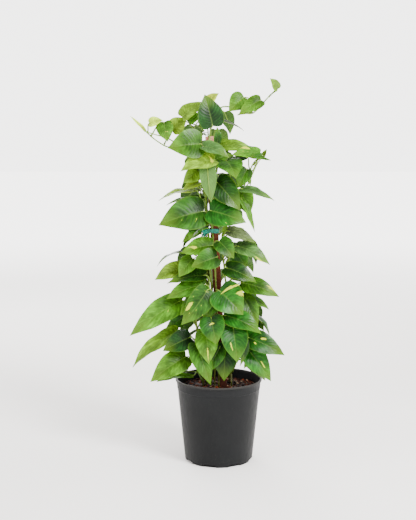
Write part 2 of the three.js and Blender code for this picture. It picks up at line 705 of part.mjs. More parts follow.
function frontLeaf(row, draw) {
  const [jointPlace, tipPlace, width, [right, toward, above], arch] = row;
  return {
    joint: fromBoard(...jointPlace),
    tip: fromBoard(...tipPlace),
    width,
    facing: new THREE.Vector3(right, -toward, above),
    arch,
    fold: between(...LEAF_FOLD, draw()),
    phase: 2 * Math.PI * draw(),
  };
}

function sideRoom(height, sideways) {
  const hand = sideways < 0 ? 1 : 2;
  const upper = Math.max(1, SIDE_ROOM.findIndex((row) => row[0] > height));
  const [below, above] = [SIDE_ROOM[upper - 1], SIDE_ROOM[upper]];
  return between(below[hand], above[hand], (height - below[0]) / (above[0] - below[0]));
}

function backLeaf(rule, number, draw) {
  const share = number / (rule.leaves - 1);
  const swing = number % 2 === 0 ? 1 : -1;
  const turn = rule.facing + swing * rule.spread * (0.2 + 0.8 * draw());
  const length = between(...BACK_LEAF_LENGTH, draw());
  const reach = between(...BACK_JOINT_REACH, draw());
  const droop = between(...BACK_DROOP, draw());
  const height = between(rule.lowest, rule.highest, share) + 26 * (draw() - 0.5);
  const sideways = Math.cos(THREE.MathUtils.degToRad(turn));
  const run = 1 - 0.55 * droop;
  const room = sideRoom(height, sideways) / (reach + (length * run) / Math.hypot(run, droop));
  const kept = Math.sign(sideways) * Math.min(Math.abs(sideways), room);
  const depth = Math.sign(Math.sin(THREE.MathUtils.degToRad(turn))) * Math.sqrt(1 - kept * kept);
  const outward = new THREE.Vector3(kept, depth, 0);
  const joint = new THREE.Vector3(stakeCentre(height), 0, height)
    .addScaledVector(outward, reach);
  const heading = outward.clone().multiplyScalar(run)
    .addScaledVector(up, -droop).normalize();
  return {
    joint,
    tip: joint.clone().addScaledVector(heading, length),
    width: length * (0.62 + 0.12 * draw()),
    facing: outward.clone().multiplyScalar(0.8).addScaledVector(up, 0.5),
    arch: 0.06 + 0.06 * draw(),
    fold: between(...LEAF_FOLD, draw()),
    phase: 2 * Math.PI * draw(),
  };
}

function shifted(leaf, direction, [jointShift, tipShift]) {
  return {
    ...leaf,
    joint: leaf.joint.clone().addScaledVector(direction, jointShift),
    tip: leaf.tip.clone().addScaledVector(direction, tipShift),
  };
}

// Placing. A leaf takes the first place where neither its blade nor its petiole comes
// within the gap of another stem's leaves, the stake, the tie or the pot.

const GAP_GROWTH = 0.45;

function boxOf(solid) {
  const bounds = solid.boundingBox();
  return new THREE.Box3(new THREE.Vector3(...bounds.min), new THREE.Vector3(...bounds.max));
}

function touches(solid, others) {
  const box = boxOf(solid);
  return others.some((other) => {
    return box.intersectsBox(other.box) && solid.intersect(other.solid).volume() > 1e-6;
  });
}

class Growth {
  constructor(fixed) {
    this.fixed = fixed.map((solid) => ({ solid, box: boxOf(solid) }));
    this.stems = {};
    this.parts = {};
    this.placed = [];
  }

  addStem(name) {
    const solid = makeStem(name);
    this.parts[name] = [solid];
    this.stems[name] = { solid, box: boxOf(solid) };
  }

  obstacles(name) {
    const otherStems = Object.keys(this.stems).filter((key) => key !== name);
    const otherLeaves = this.placed.filter((part) => part.name !== name);
    return [...this.fixed, ...otherStems.map((key) => this.stems[key]), ...otherLeaves];
  }

  tryPlace(name, leaf, stemPlaces, avoid) {
    if (touches(makeLeaf(leaf, [], GAP_GROWTH), avoid)) return false;
    const roots = rootsByFit(leaf, leafFrame(leaf).length, stemPlaces);
    for (const choice of ROOT_CHOICES) {
      for (const lift of PETIOLE_LIFTS) {
        const bow = petioleBow(leaf, roots[choice], lift);
        if (isSound(leaf, bow) && !touches(makeLeaf(leaf, bow, GAP_GROWTH), avoid)) {
          this.keep(name, makeLeaf(leaf, bow, 0));
          return true;
        }
      }
    }
    return false;
  }

  keep(name, solid) {
    this.parts[name].push(solid);
    this.placed.push({ name, solid, box: boxOf(solid) });
  }

  addLeaf(name, leaf, direction) {
    const roots = stemRoots(name);
    const others = this.obstacles(name);
    const own = this.placed.filter((part) => part.name === name);
    for (const avoid of [[...others, ...own], others]) {
      const place = SHIFTS.find((shift) => {
        return this.tryPlace(name, shifted(leaf, direction, shift), roots, avoid);
      });
      if (place) return;
    }
  }
}

// The whole plant. A leaf that finds no room is left out.

function growPlant(fixed) {
  const growth = new Growth(fixed);
  const names = Object.keys(STEM_PATHS);
  names.forEach((name) => growth.addStem(name));
  const draw = seededDraws(SEED);
  for (const [name, rows] of Object.entries(FRONT_LEAVES)) {
    for (const row of rows) {
      const leaf = frontLeaf(row, draw);
      growth.addLeaf(name, leaf, EYE.clone().sub(leaf.joint).normalize());
    }
  }
  for (const [name, rule] of Object.entries(BACK_STEMS)) {
    for (let number = 0; number < rule.leaves; number += 1) {
      const leaf = backLeaf(rule, number, draw);
      const outward = new THREE.Vector3(leaf.facing.x, leaf.facing.y, 0);
      growth.addLeaf(name, leaf, outward.normalize());
    }
  }
  return names.map((name) => [name, join(growth.parts[name])]);
}

// Assembly

function named(name, solid, [colour, roughness]) {
  const material = new THREE.MeshStandardMaterial({ color: colour, roughness, metalness: 0 });
  const mesh = new THREE.Mesh(toGeometry(solid), material);
  mesh.name = name;
  return mesh;
}

const pot = makePot();
const stake = slat(0);
const tie = makeTie();
const stemHoles = Object.keys(STEM_PATHS).map(stemHole);
const pottingMix = makeMix(slat(CLEARANCE), stemHoles);

const plant = new THREE.Group();
plant.add(named('pot', pot, COLOURS.pot));
plant.add(named('potting_mix', pottingMix, COLOURS.mix));
plant.add(named('stake', stake, COLOURS.stake));
plant.add(named('tie_tape', tie, COLOURS.tie));
for (const [name, solid] of growPlant([pot, pottingMix, stake, tie])) {
  plant.add(named(`vine_${name}`, solid, COLOURS.leaf));
}

export default plant;
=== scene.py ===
"""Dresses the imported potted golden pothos: pot, potting mix, stake, tie, stems and leaves."""

import logging
import math
import random
from collections.abc import Callable, Iterator, Sequence
from dataclasses import dataclass, field, replace
from enum import Enum
from functools import partial, reduce

import bmesh
import bpy
from mathutils import Matrix, Quaternion, Vector, noise
from mathutils.geometry import interpolate_bezier
from mathutils.kdtree import KDTree


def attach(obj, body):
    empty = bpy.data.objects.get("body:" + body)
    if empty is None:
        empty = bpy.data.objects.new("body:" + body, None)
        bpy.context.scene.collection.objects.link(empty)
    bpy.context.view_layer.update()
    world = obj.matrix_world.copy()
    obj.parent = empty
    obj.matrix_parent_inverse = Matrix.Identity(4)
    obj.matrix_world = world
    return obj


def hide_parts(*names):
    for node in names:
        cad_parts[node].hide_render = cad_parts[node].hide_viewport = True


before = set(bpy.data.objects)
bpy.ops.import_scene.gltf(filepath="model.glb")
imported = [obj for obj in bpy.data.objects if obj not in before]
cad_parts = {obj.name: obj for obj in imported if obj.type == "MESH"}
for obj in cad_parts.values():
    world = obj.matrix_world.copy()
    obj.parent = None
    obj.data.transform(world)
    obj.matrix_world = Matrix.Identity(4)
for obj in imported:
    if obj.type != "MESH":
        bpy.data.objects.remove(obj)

log = logging.getLogger("pothos")

MM = 0.001
UP = Vector((0.0, 0.0, 1.0))
Colour = tuple[float, float, float, float]


def linear(code: int) -> Colour:
    """Turns a display colour such as 0x4F8A2F into linear light.

    Args:
        code: The colour as one number, two digits each for red, green and blue.

    Returns:
        Red, green, blue and an alpha of 1.
    """
    parts = [((code >> shift) & 255) / 255 for shift in (16, 8, 0)]
    red, green, blue = [p / 12.92 if p <= 0.04045 else ((p + 0.055) / 1.055) ** 2.4 for p in parts]
    return (red, green, blue, 1.0)


def between(low: float, high: float, share: float) -> float:
    """Returns the number that lies at a share of the way from low to high."""
    return (1 - share) * low + share * high


# Sizes in millimetres and shape factors, all shared with the solids

POT_HEIGHT = 246.0
RIM_RADIUS = 129.0
BASE_RADIUS = 101.5
POT_WALL = 2.0
FLOOR_THICKNESS = 2.6
LIP_HEIGHT = 7.0
LIP_REACH = 3.2
SOIL_TOP = 218.0
SOIL_CROWN = 5.0
STAKE_WIDTH = 24.0
STAKE_THICKNESS = 22.0
STAKE_TOP = 963.0
STAKE_FOOT = 62.0
STAKE_FOOT_X = 21.0
STAKE_LEAN = 0.0549
STEM_RADIUS = 3.1
STEM_FOOT = 170.0
STEM_COLLAR = 6.0
LOWEST_ROOT = 12.0
PETIOLE_RADIUS = 1.9
PETIOLE_STEPS = 3
PETIOLE_LENGTHS = (28.0, 92.0)
PETIOLE_SHARE = 0.8
BLADE_THICKNESS = 1.3
TIE_BOTTOM = 681.0
TIE_HEIGHT = 13.0
TIE_OFFSET = -9.5
LOBE_CURVE = 1.45
LOBE_REACH = 1.3
TIP_CURVE = 0.3
TIP_NARROWING = 0.25
MIDRIB_CURVE = 2.1
SIDE_DROOP = 0.16
WAVE_SHARE = 0.022
WAVE_RATE = 9
SEED = 20

# The camera's place and downward pitch, and how far from it the board of the front drawing is

EYE = Vector((-32.0, -2800.0, 940.0))
EYE_PITCH = math.radians(6.92)
BOARD_DISTANCE = 2871.0


def stake_centre(height: float) -> float:
    """Returns how far to the right the stake's middle line is at a height."""
    return STAKE_FOOT_X - STAKE_LEAN * (height - STAKE_FOOT)


def from_board(across: float, rise: float, ahead: float) -> Vector:
    """Places a point of the front drawing.

    Args:
        across: How far to the right of the board's centre it is drawn.
        rise: How far above the board's centre it is drawn.
        ahead: How far in front of the plant's middle plane it stands.

    Returns:
        The point in the part's frame.
    """
    slope = rise / BOARD_DISTANCE
    reach = (-ahead - EYE.y) / (math.cos(EYE_PITCH) + slope * math.sin(EYE_PITCH))
    height = EYE.z - reach * (math.sin(EYE_PITCH) - slope * math.cos(EYE_PITCH))
    return Vector((EYE.x + reach * across / BOARD_DISTANCE, -ahead, height))


def seeded_draws(seed: int) -> Iterator[float]:
    """Gives the same chance draws as the rule that placed the solids' leaves.

    Args:
        seed: Where the draws start.

    Returns:
        An endless row of numbers from 0 to 1.
    """
    mask = 0xFFFFFFFF
    state = seed & mask
    while True:
        state = (state + 0x6D2B79F5) & mask
        mixed = ((state ^ (state >> 15)) * (state | 1)) & mask
        mixed ^= (mixed + (mixed ^ (mixed >> 7)) * (mixed | 61)) & mask
        yield ((mixed ^ (mixed >> 14)) & mask) / 4294967296


# Stems: ("stake", height, sideways, depth), ("board", across, rise, ahead) or (x, y, z)

STEM_PATHS: dict[str, list[tuple]] = {
    "front_left": [
        (-24, -10, 300), (-16, -14, 400),
        ("stake", 540, -18, -10), ("stake", 690, -18, -9), ("stake", 790, -19.5, -10),
        ("stake", 850, -20, -11), ("stake", 890, -25, -13),
        ("board", -78, 342, 18), ("board", -120, 339, 16), ("board", -144, 351, 15),
        ("board", -165, 366, 14), ("board", -189, 388, 14),
    ],
    "front_right": [
        (0, -24, 300), (-4, -19, 400),
        ("stake", 540, -4, -15.5), ("stake", 690, -5, -15.5), ("stake", 900, -3, -15.5),
        ("stake", 985, 6, -16), ("board", 36, 456, 16), ("board", 63, 460, 12),
        ("board", 96, 452, 8), ("board", 132, 440, 6), ("board", 162, 468, 6),
        ("board", 186, 494, 6), ("board", 206, 513, 8),
    ],
    "crown": [
        (6, 24, 300),
        ("stake", 430, -2, 17), ("stake", 520, -3, 16), ("stake", 690, -3, 16),
        ("stake", 940, -4, 16.2), ("stake", 990, -6, 16),
        ("board", -24, 405, -10), ("board", -30, 436, -6), ("board", -27, 464, -4),
    ],
    "left": [
        (-36, 6, 300), (-26, 2, 420),
        ("stake", 560, -25, 1), ("stake", 690, -25, 1), ("stake", 800, -25, 2),
        ("board", -36, 222, -2),
    ],
    "right": [
        (38, 6, 300), (36, -2, 420),
        ("stake", 560, 24, -3), ("stake", 690, 26, -2), ("board", 84, 168, 4),
        ("board", 102, 210, 6), ("board", 117, 242, 8), ("board", 129, 276, 8),
        ("board", 144, 300, 10), ("board", 163, 308, 12),
    ],
    "low_left": [(-46, -16, 290), (-62, -32, 370), (-66, -34, 440), (-60, -28, 500)],
    "front_low": [(-12, -30, 290), (-8, -38, 340), (-4, -44, 390), (0, -46, 440)],
    "low_right": [(38, -14, 290), (58, -26, 370), (66, -28, 440), (64, -22, 505)],
    "back_left": [
        (-24, 32, 300), (-17, 20, 400),
        ("stake", 520, -17.5, 10.5), ("stake", 690, -17.5, 10.5), ("stake", 860, -18, 14),
        (-46, 26, 905), (-58, 40, 950),
    ],
    "back_right": [
        (32, 32, 300), (22, 22, 400),
        ("stake", 520, 9, 15.6), ("stake", 690, 8, 15.6), ("stake", 840, 9, 18),
        (-2, 28, 880), (10, 42, 922),
    ],
    "back_low": [(4, 52, 300), (2, 62, 380), (-2, 60, 460), (-4, 54, 530)],
}


class Tone(Enum):
    """Leaf colours from the oldest to the youngest, and the pale lower faces. Each leaf's tone also
    holds painted light and shade for where it hangs: SHADE carries the most painted shade and GLOW
    is painted light shining through a leaf.
    """

    SHADE = 0x0C2808
    DEEP = 0x112E08
    MID = 0x1B3F09
    CREAM = 0x1B4009
    FERN = 0x134109
    MOSS = 0x264B0A
    FRESH = 0x31570C
    BRIGHT = 0x3A6510
    LIME = 0x4B6A12
    GOLD = 0x5E7C14
    GLOW = 0xA0B42C
    PALE = 0x345222
    DUSK = 0x3B4A2C


SHADE, DEEP, MID, CREAM, FERN, MOSS, FRESH, BRIGHT, LIME, GOLD, GLOW, PALE, DUSK = Tone

# Front leaves: joint, tip, width, where the upper face looks (right, towards the eye, up),
# the midrib's arch and the tone, which also holds painted light and shade. The places are on
# the front drawing.

FRONT_LEAVES: dict[str, list[tuple]] = {
    "front_left": [
        ((-22, 348, 45), (-121, 336, 66), 92, (-0.08, 0.95, 0.28), 0.08, MOSS),
        ((20, 300, 62), (-82, 266, 75), 75, (-0.1, 0.65, 0.75), 0.1, GOLD),
        ((-12, 146, 35), (-149, 104, 62), 108, (-0.05, 0.92, 0.4), 0.1, MID),
        ((27, 9, 72), (-51, -21, 88), 66, (-0.05, 0.95, 0.35), 0.08, MID),
        ((-2, -90, 84), (-81, -195, 98), 76, (0.35, 0.95, 0.1), 0.08, CREAM),
        ((-9, -74, 50), (-126, -118, 60), 68, (-0.1, 0.75, 0.65), 0.1, MOSS),
        ((14, 44, 48), (-82, 20, 60), 66, (-0.1, 0.8, 0.55), 0.08, FRESH),
        ((-27, 267, 38), (-76, 230, 50), 48, (-0.1, 1, 0.2), 0.08, LIME),
        ((-3, 272, 40), (-26, 244, 42), 28, (-0.2, 1, 0.1), 0.05, MID),
        ((-132, 413, 15), (-121, 355, 20), 52, (-0.1, 1, 0.1), 0.08, FRESH),
        ((-108, 390, 5), (-64, 424, -3), 60, (0, 0.8, 0.6), 0.08, GOLD),
        ((-176, 410, 20), (-136, 419, 25), 38, (0, 0.75, 0.6), 0.05, GLOW),
        ((-189, 388, 20), (-234, 432, 25), 12, (-0.3, 0.5, 0.8), 0.03, GLOW),
        ((-15, 341, 28), (63, 306, 42), 50, (0.1, 0.7, 0.7), 0.1, PALE),
    ],
    "front_right": [
        ((-2, 286, 76), (10, 172, 64), 50, (0.1, -1, 0.1), -0.12, MOSS),
        ((4, 149, 48), (115, 112, 62), 88, (0.05, 0.92, 0.4), 0.08, FERN),
        ((24, 236, 50), (98, 148, 78), 80, (0.1, 1, 0.25), 0.08, DEEP),
        ((54, 298, 28), (84, 243, 95), 84, (0.05, 0.55, 0.85), 0.1, MOSS),
        ((34, -92, 78), (106, -165, 98), 102, (0.2, 0.95, 0.2), 0.08, FERN),
        ((33, 56, 58), (78, 4, 75), 58, (0.1, 0.9, 0.45), 0.1, MID),
        ((18, -112, 50), (-10, -185, 66), 58, (-0.2, 1, 0.1), 0.08, MOSS),
        ((108, 488, 12), (62, 445, 25), 60, (-0.1, 1, 0.3), 0.06, FRESH),
        ((159, 480, 10), (94, 440, 22), 48, (0, 0.9, 0.45), 0.06, FRESH),
        ((133, 444, 5), (87, 434, 20), 24, (0, 0.6, 0.8), 0.06, GOLD),
        ((209, 513, 10), (186, 545, 20), 35, (0.4, 0.8, 0.4), 0.05, LIME),
        ((18, 300, 22), (74, 316, 20), 36, (0, 0.8, 0.6), 0.06, FRESH),
    ],
    "low_left": [
        ((-81, -121, 30), (-235, -228, 52), 80, (-0.15, 0.9, 0.4), 0.1, BRIGHT),
        ((-54, -232, 38), (-136, -273, 52), 68, (-0.1, 0.95, 0.35), 0.08, SHADE),
        ((-66, -290, 35), (-173, -366, 60), 78, (-0.15, 0.9, 0.45), 0.1, FRESH),
        ((-90, -214, 5), (-226, -322, 20), 56, (-0.3, 0.7, 0.65), 0.12, LIME),
        ((-33, -116, 60), (-84, -166, 72), 50, (-0.1, 1, 0.2), 0.08, FRESH),
        ((-51, -291, 30), (-57, -318, 32), 15, (0, 1, 0), 0.05, MID),
        ((-48, -348, 30), (-129, -356, 38), 21, (0, 0.5, 0.9), 0.05, FRESH),
        ((-84, -336, 20), (-155, -366, 30), 30, (-0.1, 0.75, 0.6), 0.06, FRESH),
        ((-72, -172, -10), (-128, -208, -5), 40, (0, 1, 0.2), 0.06, MID),
    ],
    "front_low": [
        ((75, -201, 86), (88, -309, 108), 81, (0.05, 1, 0.2), 0.08, FERN),
        ((9, -172, 88), (26, -254, 110), 76, (-0.1, 1, 0.25), 0.08, FERN),
        ((-6, -211, 72), (2, -313, 96), 70, (0, 1, 0.2), 0.08, FRESH),
        ((-36, -250, 62), (8, -375, 94), 64, (0.1, 1, 0.1), 0.08, MOSS),
        ((51, -253, 40), (48, -364, 66), 80, (0, 1, 0.15), 0.06, SHADE),
        ((36, -262, 58), (-9, -342, 74), 52, (0.05, 1, 0.2), 0.06, MID),
        ((48, -166, 58), (160, -222, 70), 72, (0.05, 0.72, 0.7), 0.12, FERN),
    ],
    "low_right": [
        ((117, -231, 50), (230, -286, 62), 68, (0.1, 0.87, 0.45), 0.1, FERN),
        ((118, -266, 34), (189, -364, 58), 72, (0.22, 0.95, 0.2), 0.08, FERN),
        ((106, -109, 5), (184, -149, 10), 46, (0.2, 0.55, 0.8), 0.08, MOSS),
        ((105, -112, 12), (150, -196, 30), 58, (0.2, 1, 0.2), 0.08, MOSS),
        ((141, -172, 0), (168, -214, 5), 26, (0.2, 0.8, 0.4), 0.06, MID),
        ((69, -189, 68), (108, -202, 76), 21, (0.1, 0.6, 0.8), 0.08, CREAM),
        ((114, -243, 60), (96, -318, 72), 27, (0.5, 0.8, 0), 0.06, DEEP),
        ((117, -300, 20), (172, -362, 35), 40, (0.3, 0.8, 0.5), 0.08, DUSK),
        ((120, -300, 42), (108, -326, 46), 15, (0, 1, 0), 0.05, FRESH),
    ],
    "right": [
        ((54, -23, 55), (145, -68, 70), 60, (0.1, 0.8, 0.55), 0.1, DEEP),
        ((102, -68, 30), (214, -111, 42), 62, (0.15, 0.8, 0.55), 0.1, MOSS),
        ((87, 42, 35), (186, -15, 55), 54, (0.15, 0.75, 0.68), 0.12, PALE),
        ((57, 99, 8), (42, 70, 12), 21, (0, 1, 0), 0.06, LIME),
        ((60, 87, 20), (144, 50, 30), 42, (0.2, 0.75, 0.6), 0.1, DUSK),
        ((99, 212, 10), (124, 132, 15), 60, (0.2, 1, 0), 0.06, FRESH),
        ((99, 186, 24), (140, 84, 28), 24, (0.5, 0.8, 0.2), 0.06, FRESH),
        ((99, 214, 10), (198, 178, 20), 42, (0.15, 0.5, 0.85), 0.08, PALE),
        ((156, 320, 20), (70, 314, 35), 50, (0, 0.75, 0.65), 0.1, BRIGHT),
        ((162, 314, 15), (126, 308, 18), 18, (0, 0.8, 0.5), 0.05, MID),
        ((164, 309, 20), (177, 333, 25), 15, (-0.5, 0.8, 0), 0.05, LIME),
        ((159, 304, 20), (189, 298, 28), 12, (0, 0.6, 0.8), 0.05, FRESH),
        ((114, 310, 5), (69, 298, 10), 30, (0, 0.7, 0.7), 0.06, DEEP),
        ((117, 273, 5), (90, 216, 8), 46, (-0.1, 1, 0.1), 0.06, MOSS),
        ((117, 261, 14), (128, 222, 16), 18, (0.2, 1, 0), 0.05, FRESH),
        ((120, 255, 20), (134, 248, 24), 9, (0, 0.8, 0.5), 0.05, FRESH),
        ((84, 24, 0), (117, -24, 0), 52, (0.1, 1, 0), 0.06, MID),
    ],
    "left": [
        ((-45, 4, 40), (-88, -52, 52), 54, (-0.2, 0.95, 0.3), 0.08, BRIGHT),
        ((-9, -46, 28), (-122, -70, 30), 50, (0, 0.68, 0.72), 0.08, DEEP),
        ((-76, -22, 10), (-160, -60, 15), 54, (-0.1, 0.85, 0.5), 0.08, LIME),
        ((-78, 24, 10), (-153, -20, 15), 24, (0.3, 0.05, 1), 0.14, DUSK),
        ((-24, 90, 15), (-78, 52, 25), 32, (-0.2, 0.8, 0.5), 0.08, FRESH),
        ((-42, 210, 15), (-148, 178, 25), 36, (-0.1, 0.35, 0.9), 0.1, GOLD),
        ((-27, 233, 30), (-78, 207, 38), 32, (-0.1, 0.7, 0.7), 0.08, GOLD),
        ((-15, 183, 5), (-126, 164, 10), 36, (0, 0.3, 1), 0.08, PALE),
    ],
    "crown": [
        ((14, 402, 25), (-10, 497, 22), 80, (0.2, 1, 0.1), 0.05, SHADE),
        ((-4, 470, -10), (33, 500, -5), 36, (0, 0.8, 0.6), 0.08, GLOW),
        ((-78, 430, 15), (-14, 474, 5), 56, (-0.2, 0.75, 0.6), 0.06, LIME),
        ((-58, 414, -5), (-12, 440, -10), 34, (0, 0.8, 0.6), 0.06, BRIGHT),
        ((27, 351, -5), (27, 400, -5), 28, (0.5, 0.8, 0), 0.06, MID),
        ((18, 414, 8), (108, 387, 12), 27, (0.2, 0.3, 1), 0.12, DUSK),
        ((30, 344, 12), (147, 326, 16), 46, (0, 0.8, 0.6), 0.08, LIME),
    ],
}

# Yellow patches by stem and leaf number: where they lie across the blade (-1 to 1) and along
# it in line with the side veins (0 to 1), and the two half sizes.

PATCHES: dict[tuple[str, int], list[tuple[float, float, float, float]]] = {
    ("front_left", 1): [(-0.1, 0.3, 0.5, 0.06)],
    ("front_left", 4): [(0.66, 0.62, 0.2, 0.075)],
    ("front_left", 6): [(0.15, 0.74, 0.35, 0.045)],
    ("front_right", 4): [(-0.5, 0.35, 0.55, 0.045), (-0.92, 0.55, 0.28, 0.06)],
    ("front_low", 0): [(-0.15, 0.0, 0.45, 0.05), (0.4, 0.66, 0.06, 0.08)],
    ("front_low", 1): [(0.05, 0.5, 0.22, 0.035)],
    ("front_low", 2): [(0.0, 0.85, 0.13, 0.11)],
    ("right", 1): [(-0.9, 0.72, 0.35, 0.07)],
    ("right", 2): [(0.9, 0.68, 0.3, 0.06)],
    ("right", 8): [(0.8, 0.55, 0.3, 0.08)],
    ("low_right", 0): [(-0.4, 0.55, 0.12, 0.04), (0.3, 0.45, 0.1, 0.03)],
    ("low_right", 1): [(-0.3, 0.7, 0.07, 0.06)],
    ("low_right", 5): [(0.5, 0.5, 0.6, 0.25)],
}
PATCH_LAYERS = ("patch_a", "patch_b")
NO_PATCH = (0.0, -2.0, 0.1, 0.1)


@dataclass(frozen=True)
class BackRule:
    """How the leaves that the front drawing doesn't show are set on one stem.

    Heights are in millimetres, angles in degrees.
    """

    leaves: int
    lowest: float
    highest: float
    facing: float
    spread: float


BACK_STEMS: dict[str, BackRule] = {
    "back_left": BackRule(15, 430, 975, 122, 50),
    "back_right": BackRule(15, 410, 955, 58, 50),
    "back_low": BackRule(11, 335, 540, 90, 76),
    "left": BackRule(11, 480, 830, 160, 30),
    "right": BackRule(10, 400, 880, 20, 30),
    "low_left": BackRule(5, 330, 480, 160, 32),
    "low_right": BackRule(5, 320, 470, 20, 32),
    "crown": BackRule(4, 940, 1030, 92, 34),
}

# How far the foliage reaches to the left and to the right, by height

SIDE_ROOM = [
    (300, 130, 120), (480, 130, 120), (640, 105, 115), (700, 90, 85), (780, 95, 90),
    (840, 80, 85), (900, 75, 80), (960, 50, 45), (1100, 40, 40),
]

# The rule's ranges for lengths, reaches and droops, the spread of heights, and every leaf's fold

BACK_LENGTH = (72, 118)
BACK_REACH = (46, 84)
BACK_DROOP = (0.3, 0.95)
BACK_JITTER = 26
LEAF_FOLD = (0.2, 0.42)

# How the solids' leaves were given room: how far forward the joint and the tip went, which of
# the root places was taken and how steeply the petiole rose

SHIFTS = [
    (0, 0), (7, 7), (-7, -7), (0, 12), (0, -12), (14, 14), (-14, -14), (8, 24), (-8, -24),
    (22, 22), (-22, -22), (0, 28), (0, -28), (32, 32), (-32, -32), (20, 44), (-20, -44),
    (44, 44), (-44, -44), (60, 60), (-60, -60),
]
ROOT_CHOICES = (0, 2, 4, 7)
PETIOLE_LIFTS = (0.35, 0.1, 0.6)

# The steps along a solid's blade by its least length, and the chords that measure a stem

BLADE_STEPS = ((125, 6), (92, 5), (50, 4), (0, 3))
CHORDS = 200

# A point further than the reach from every corner counts as that far, and a leaf whose points
# are on average past the limit isn't in the solid

MATCH_REACH = 3.0
MATCH_LIMIT = 0.1

# How much of a blade the scattered flecks take, by its tone

FLECKS = {CREAM: 0.28, GOLD: 0.26, LIME: 0.26, BRIGHT: 0.26, FRESH: 0.26, MOSS: 0.25, MID: 0.23}


# Node graphs


class Graph:
    """Builds the nodes of one material with short calls."""

    def __init__(self, name: str) -> None:
        """Starts an empty material with its shader.

        Args:
            name: The material's name.
        """
        self.material = bpy.data.materials.new(name)
        self.material.use_nodes = True
        self.tree = self.material.node_tree
        self.shader = self.tree.nodes["Principled BSDF"]

    def put(self, target: bpy.types.NodeSocket, value: object) -> None:
        """Links a socket, or sets a plain value, on an input.

        Args:
            target: The input.
            value: The socket or the value.
        """
        if isinstance(value, bpy.types.NodeSocket):
            self.tree.links.new(value, target)
        else:
            target.default_value = value

    def node(self, kind: str, inputs: dict, **settings: object) -> bpy.types.Node:
        """Adds one node.

        Args:
            kind: The node's type name.
            inputs: What goes into each input, by its name or number.
            settings: The node's own choices.

        Returns:
            The new node.
        """
        node = self.tree.nodes.new(kind)
        for key, value in settings.items():
            setattr(node, key, value)
        for key, value in inputs.items():
            self.put(node.inputs[key], value)
        return node

    def math(self, operation: str, *values: object) -> bpy.types.NodeSocket:
        """Returns the result of one operation on numbers or sockets."""
        return self.node("ShaderNodeMath", dict(enumerate(values)), operation=operation).outputs[0]

    def product(self, *values: object) -> bpy.types.NodeSocket:
        """Returns numbers or sockets multiplied together."""
        return reduce(partial(self.math, "MULTIPLY"), values)

    def total(self, *values: object) -> bpy.types.NodeSocket:
        """Returns the sum of numbers or sockets."""
        return reduce(partial(self.math, "ADD"), values)

    def ease(self, value: object, start: float, end: float, low: float = 0.0,
             high: float = 1.0) -> bpy.types.NodeSocket:
        """Moves a value smoothly from one range to another.

        Args:
            value: The socket that is read.
            start: The value that gives low.
            end: The value that gives high.
            low: The result at the start.
            high: The result at the end.

        Returns:
            The socket that holds the result.
        """
        inputs = {"Value": value, "From Min": start, "From Max": end, "To Min": low, "To Max": high}
        return self.node("ShaderNodeMapRange", inputs, interpolation_type="SMOOTHSTEP").outputs[0]

    def mix(self, share: object, first: object, second: object) -> bpy.types.NodeSocket:
        """Returns a mix of two colours that has a share of the second one."""
        inputs = {0: share, 6: first, 7: second}
        return self.node("ShaderNodeMix", inputs, data_type="RGBA").outputs[2]

    def vary(self, colour: object, value: object) -> bpy.types.NodeSocket:
        """Returns a colour made lighter or darker by a factor."""
        return self.node("ShaderNodeHueSaturation", {"Color": colour, "Value": value}).outputs[0]

    def place(self) -> bpy.types.NodeSocket:
        """Returns the object's own coordinates, in metres."""
        return self.node("ShaderNodeTexCoord", {}).outputs["Object"]

    def height(self) -> bpy.types.NodeSocket:
        """Returns the height in the object's own coordinates, in metres."""
        return self.node("ShaderNodeSeparateXYZ", {0: self.place()}).outputs[2]

    def stretched(self, place: object, scale: tuple[float, float, float]) -> bpy.types.NodeSocket:
        """Returns coordinates scaled on each axis."""
        return self.node("ShaderNodeMapping", {"Vector": place, "Scale": scale}).outputs[0]

    def grain(self, place: object, scale: float, detail: float = 3.0) -> bpy.types.NodeSocket:
        """Returns soft noise from 0 to 1 at a scale in turns a metre."""
        inputs = {"Vector": place, "Scale": scale, "Detail": detail}
        return self.node("ShaderNodeTexNoise", inputs).outputs[0]

    def attribute(self, name: str) -> bpy.types.Node:
        """Returns the node that reads one of the piece's own attributes."""
        return self.node("ShaderNodeAttribute", {}, attribute_name=name)

    def bump(self, height: object, depth: float, strength: float = 1.0,
             normal: object = None) -> bpy.types.NodeSocket:
        """Turns a height into a bumped normal.

        Args:
            height: The height from 0 to 1.
            depth: How many metres high a height of 1 stands.
            strength: How strongly it shows.
            normal: An earlier bump that this one lies on.

        Returns:
            The normal.
        """
        inputs = {"Strength": strength, "Distance": depth, "Height": height}
        if normal is not None:
            inputs["Normal"] = normal
        return self.node("ShaderNodeBump", inputs).outputs[0]

    def finish(self, specular: float, **sockets: object) -> bpy.types.Material:
        """Fills the shader.

        Args:
            specular: How strongly it reflects, on the shader's own scale.
            sockets: Other inputs, with spaces in their names as underscores.

        Returns:
            The finished material.
        """
        self.shader.inputs["Specular IOR Level"].default_value = specular
        for key, value in sockets.items():
            self.put(self.shader.inputs[key.replace("_", " ")], value)
        return self.material


# Finishes


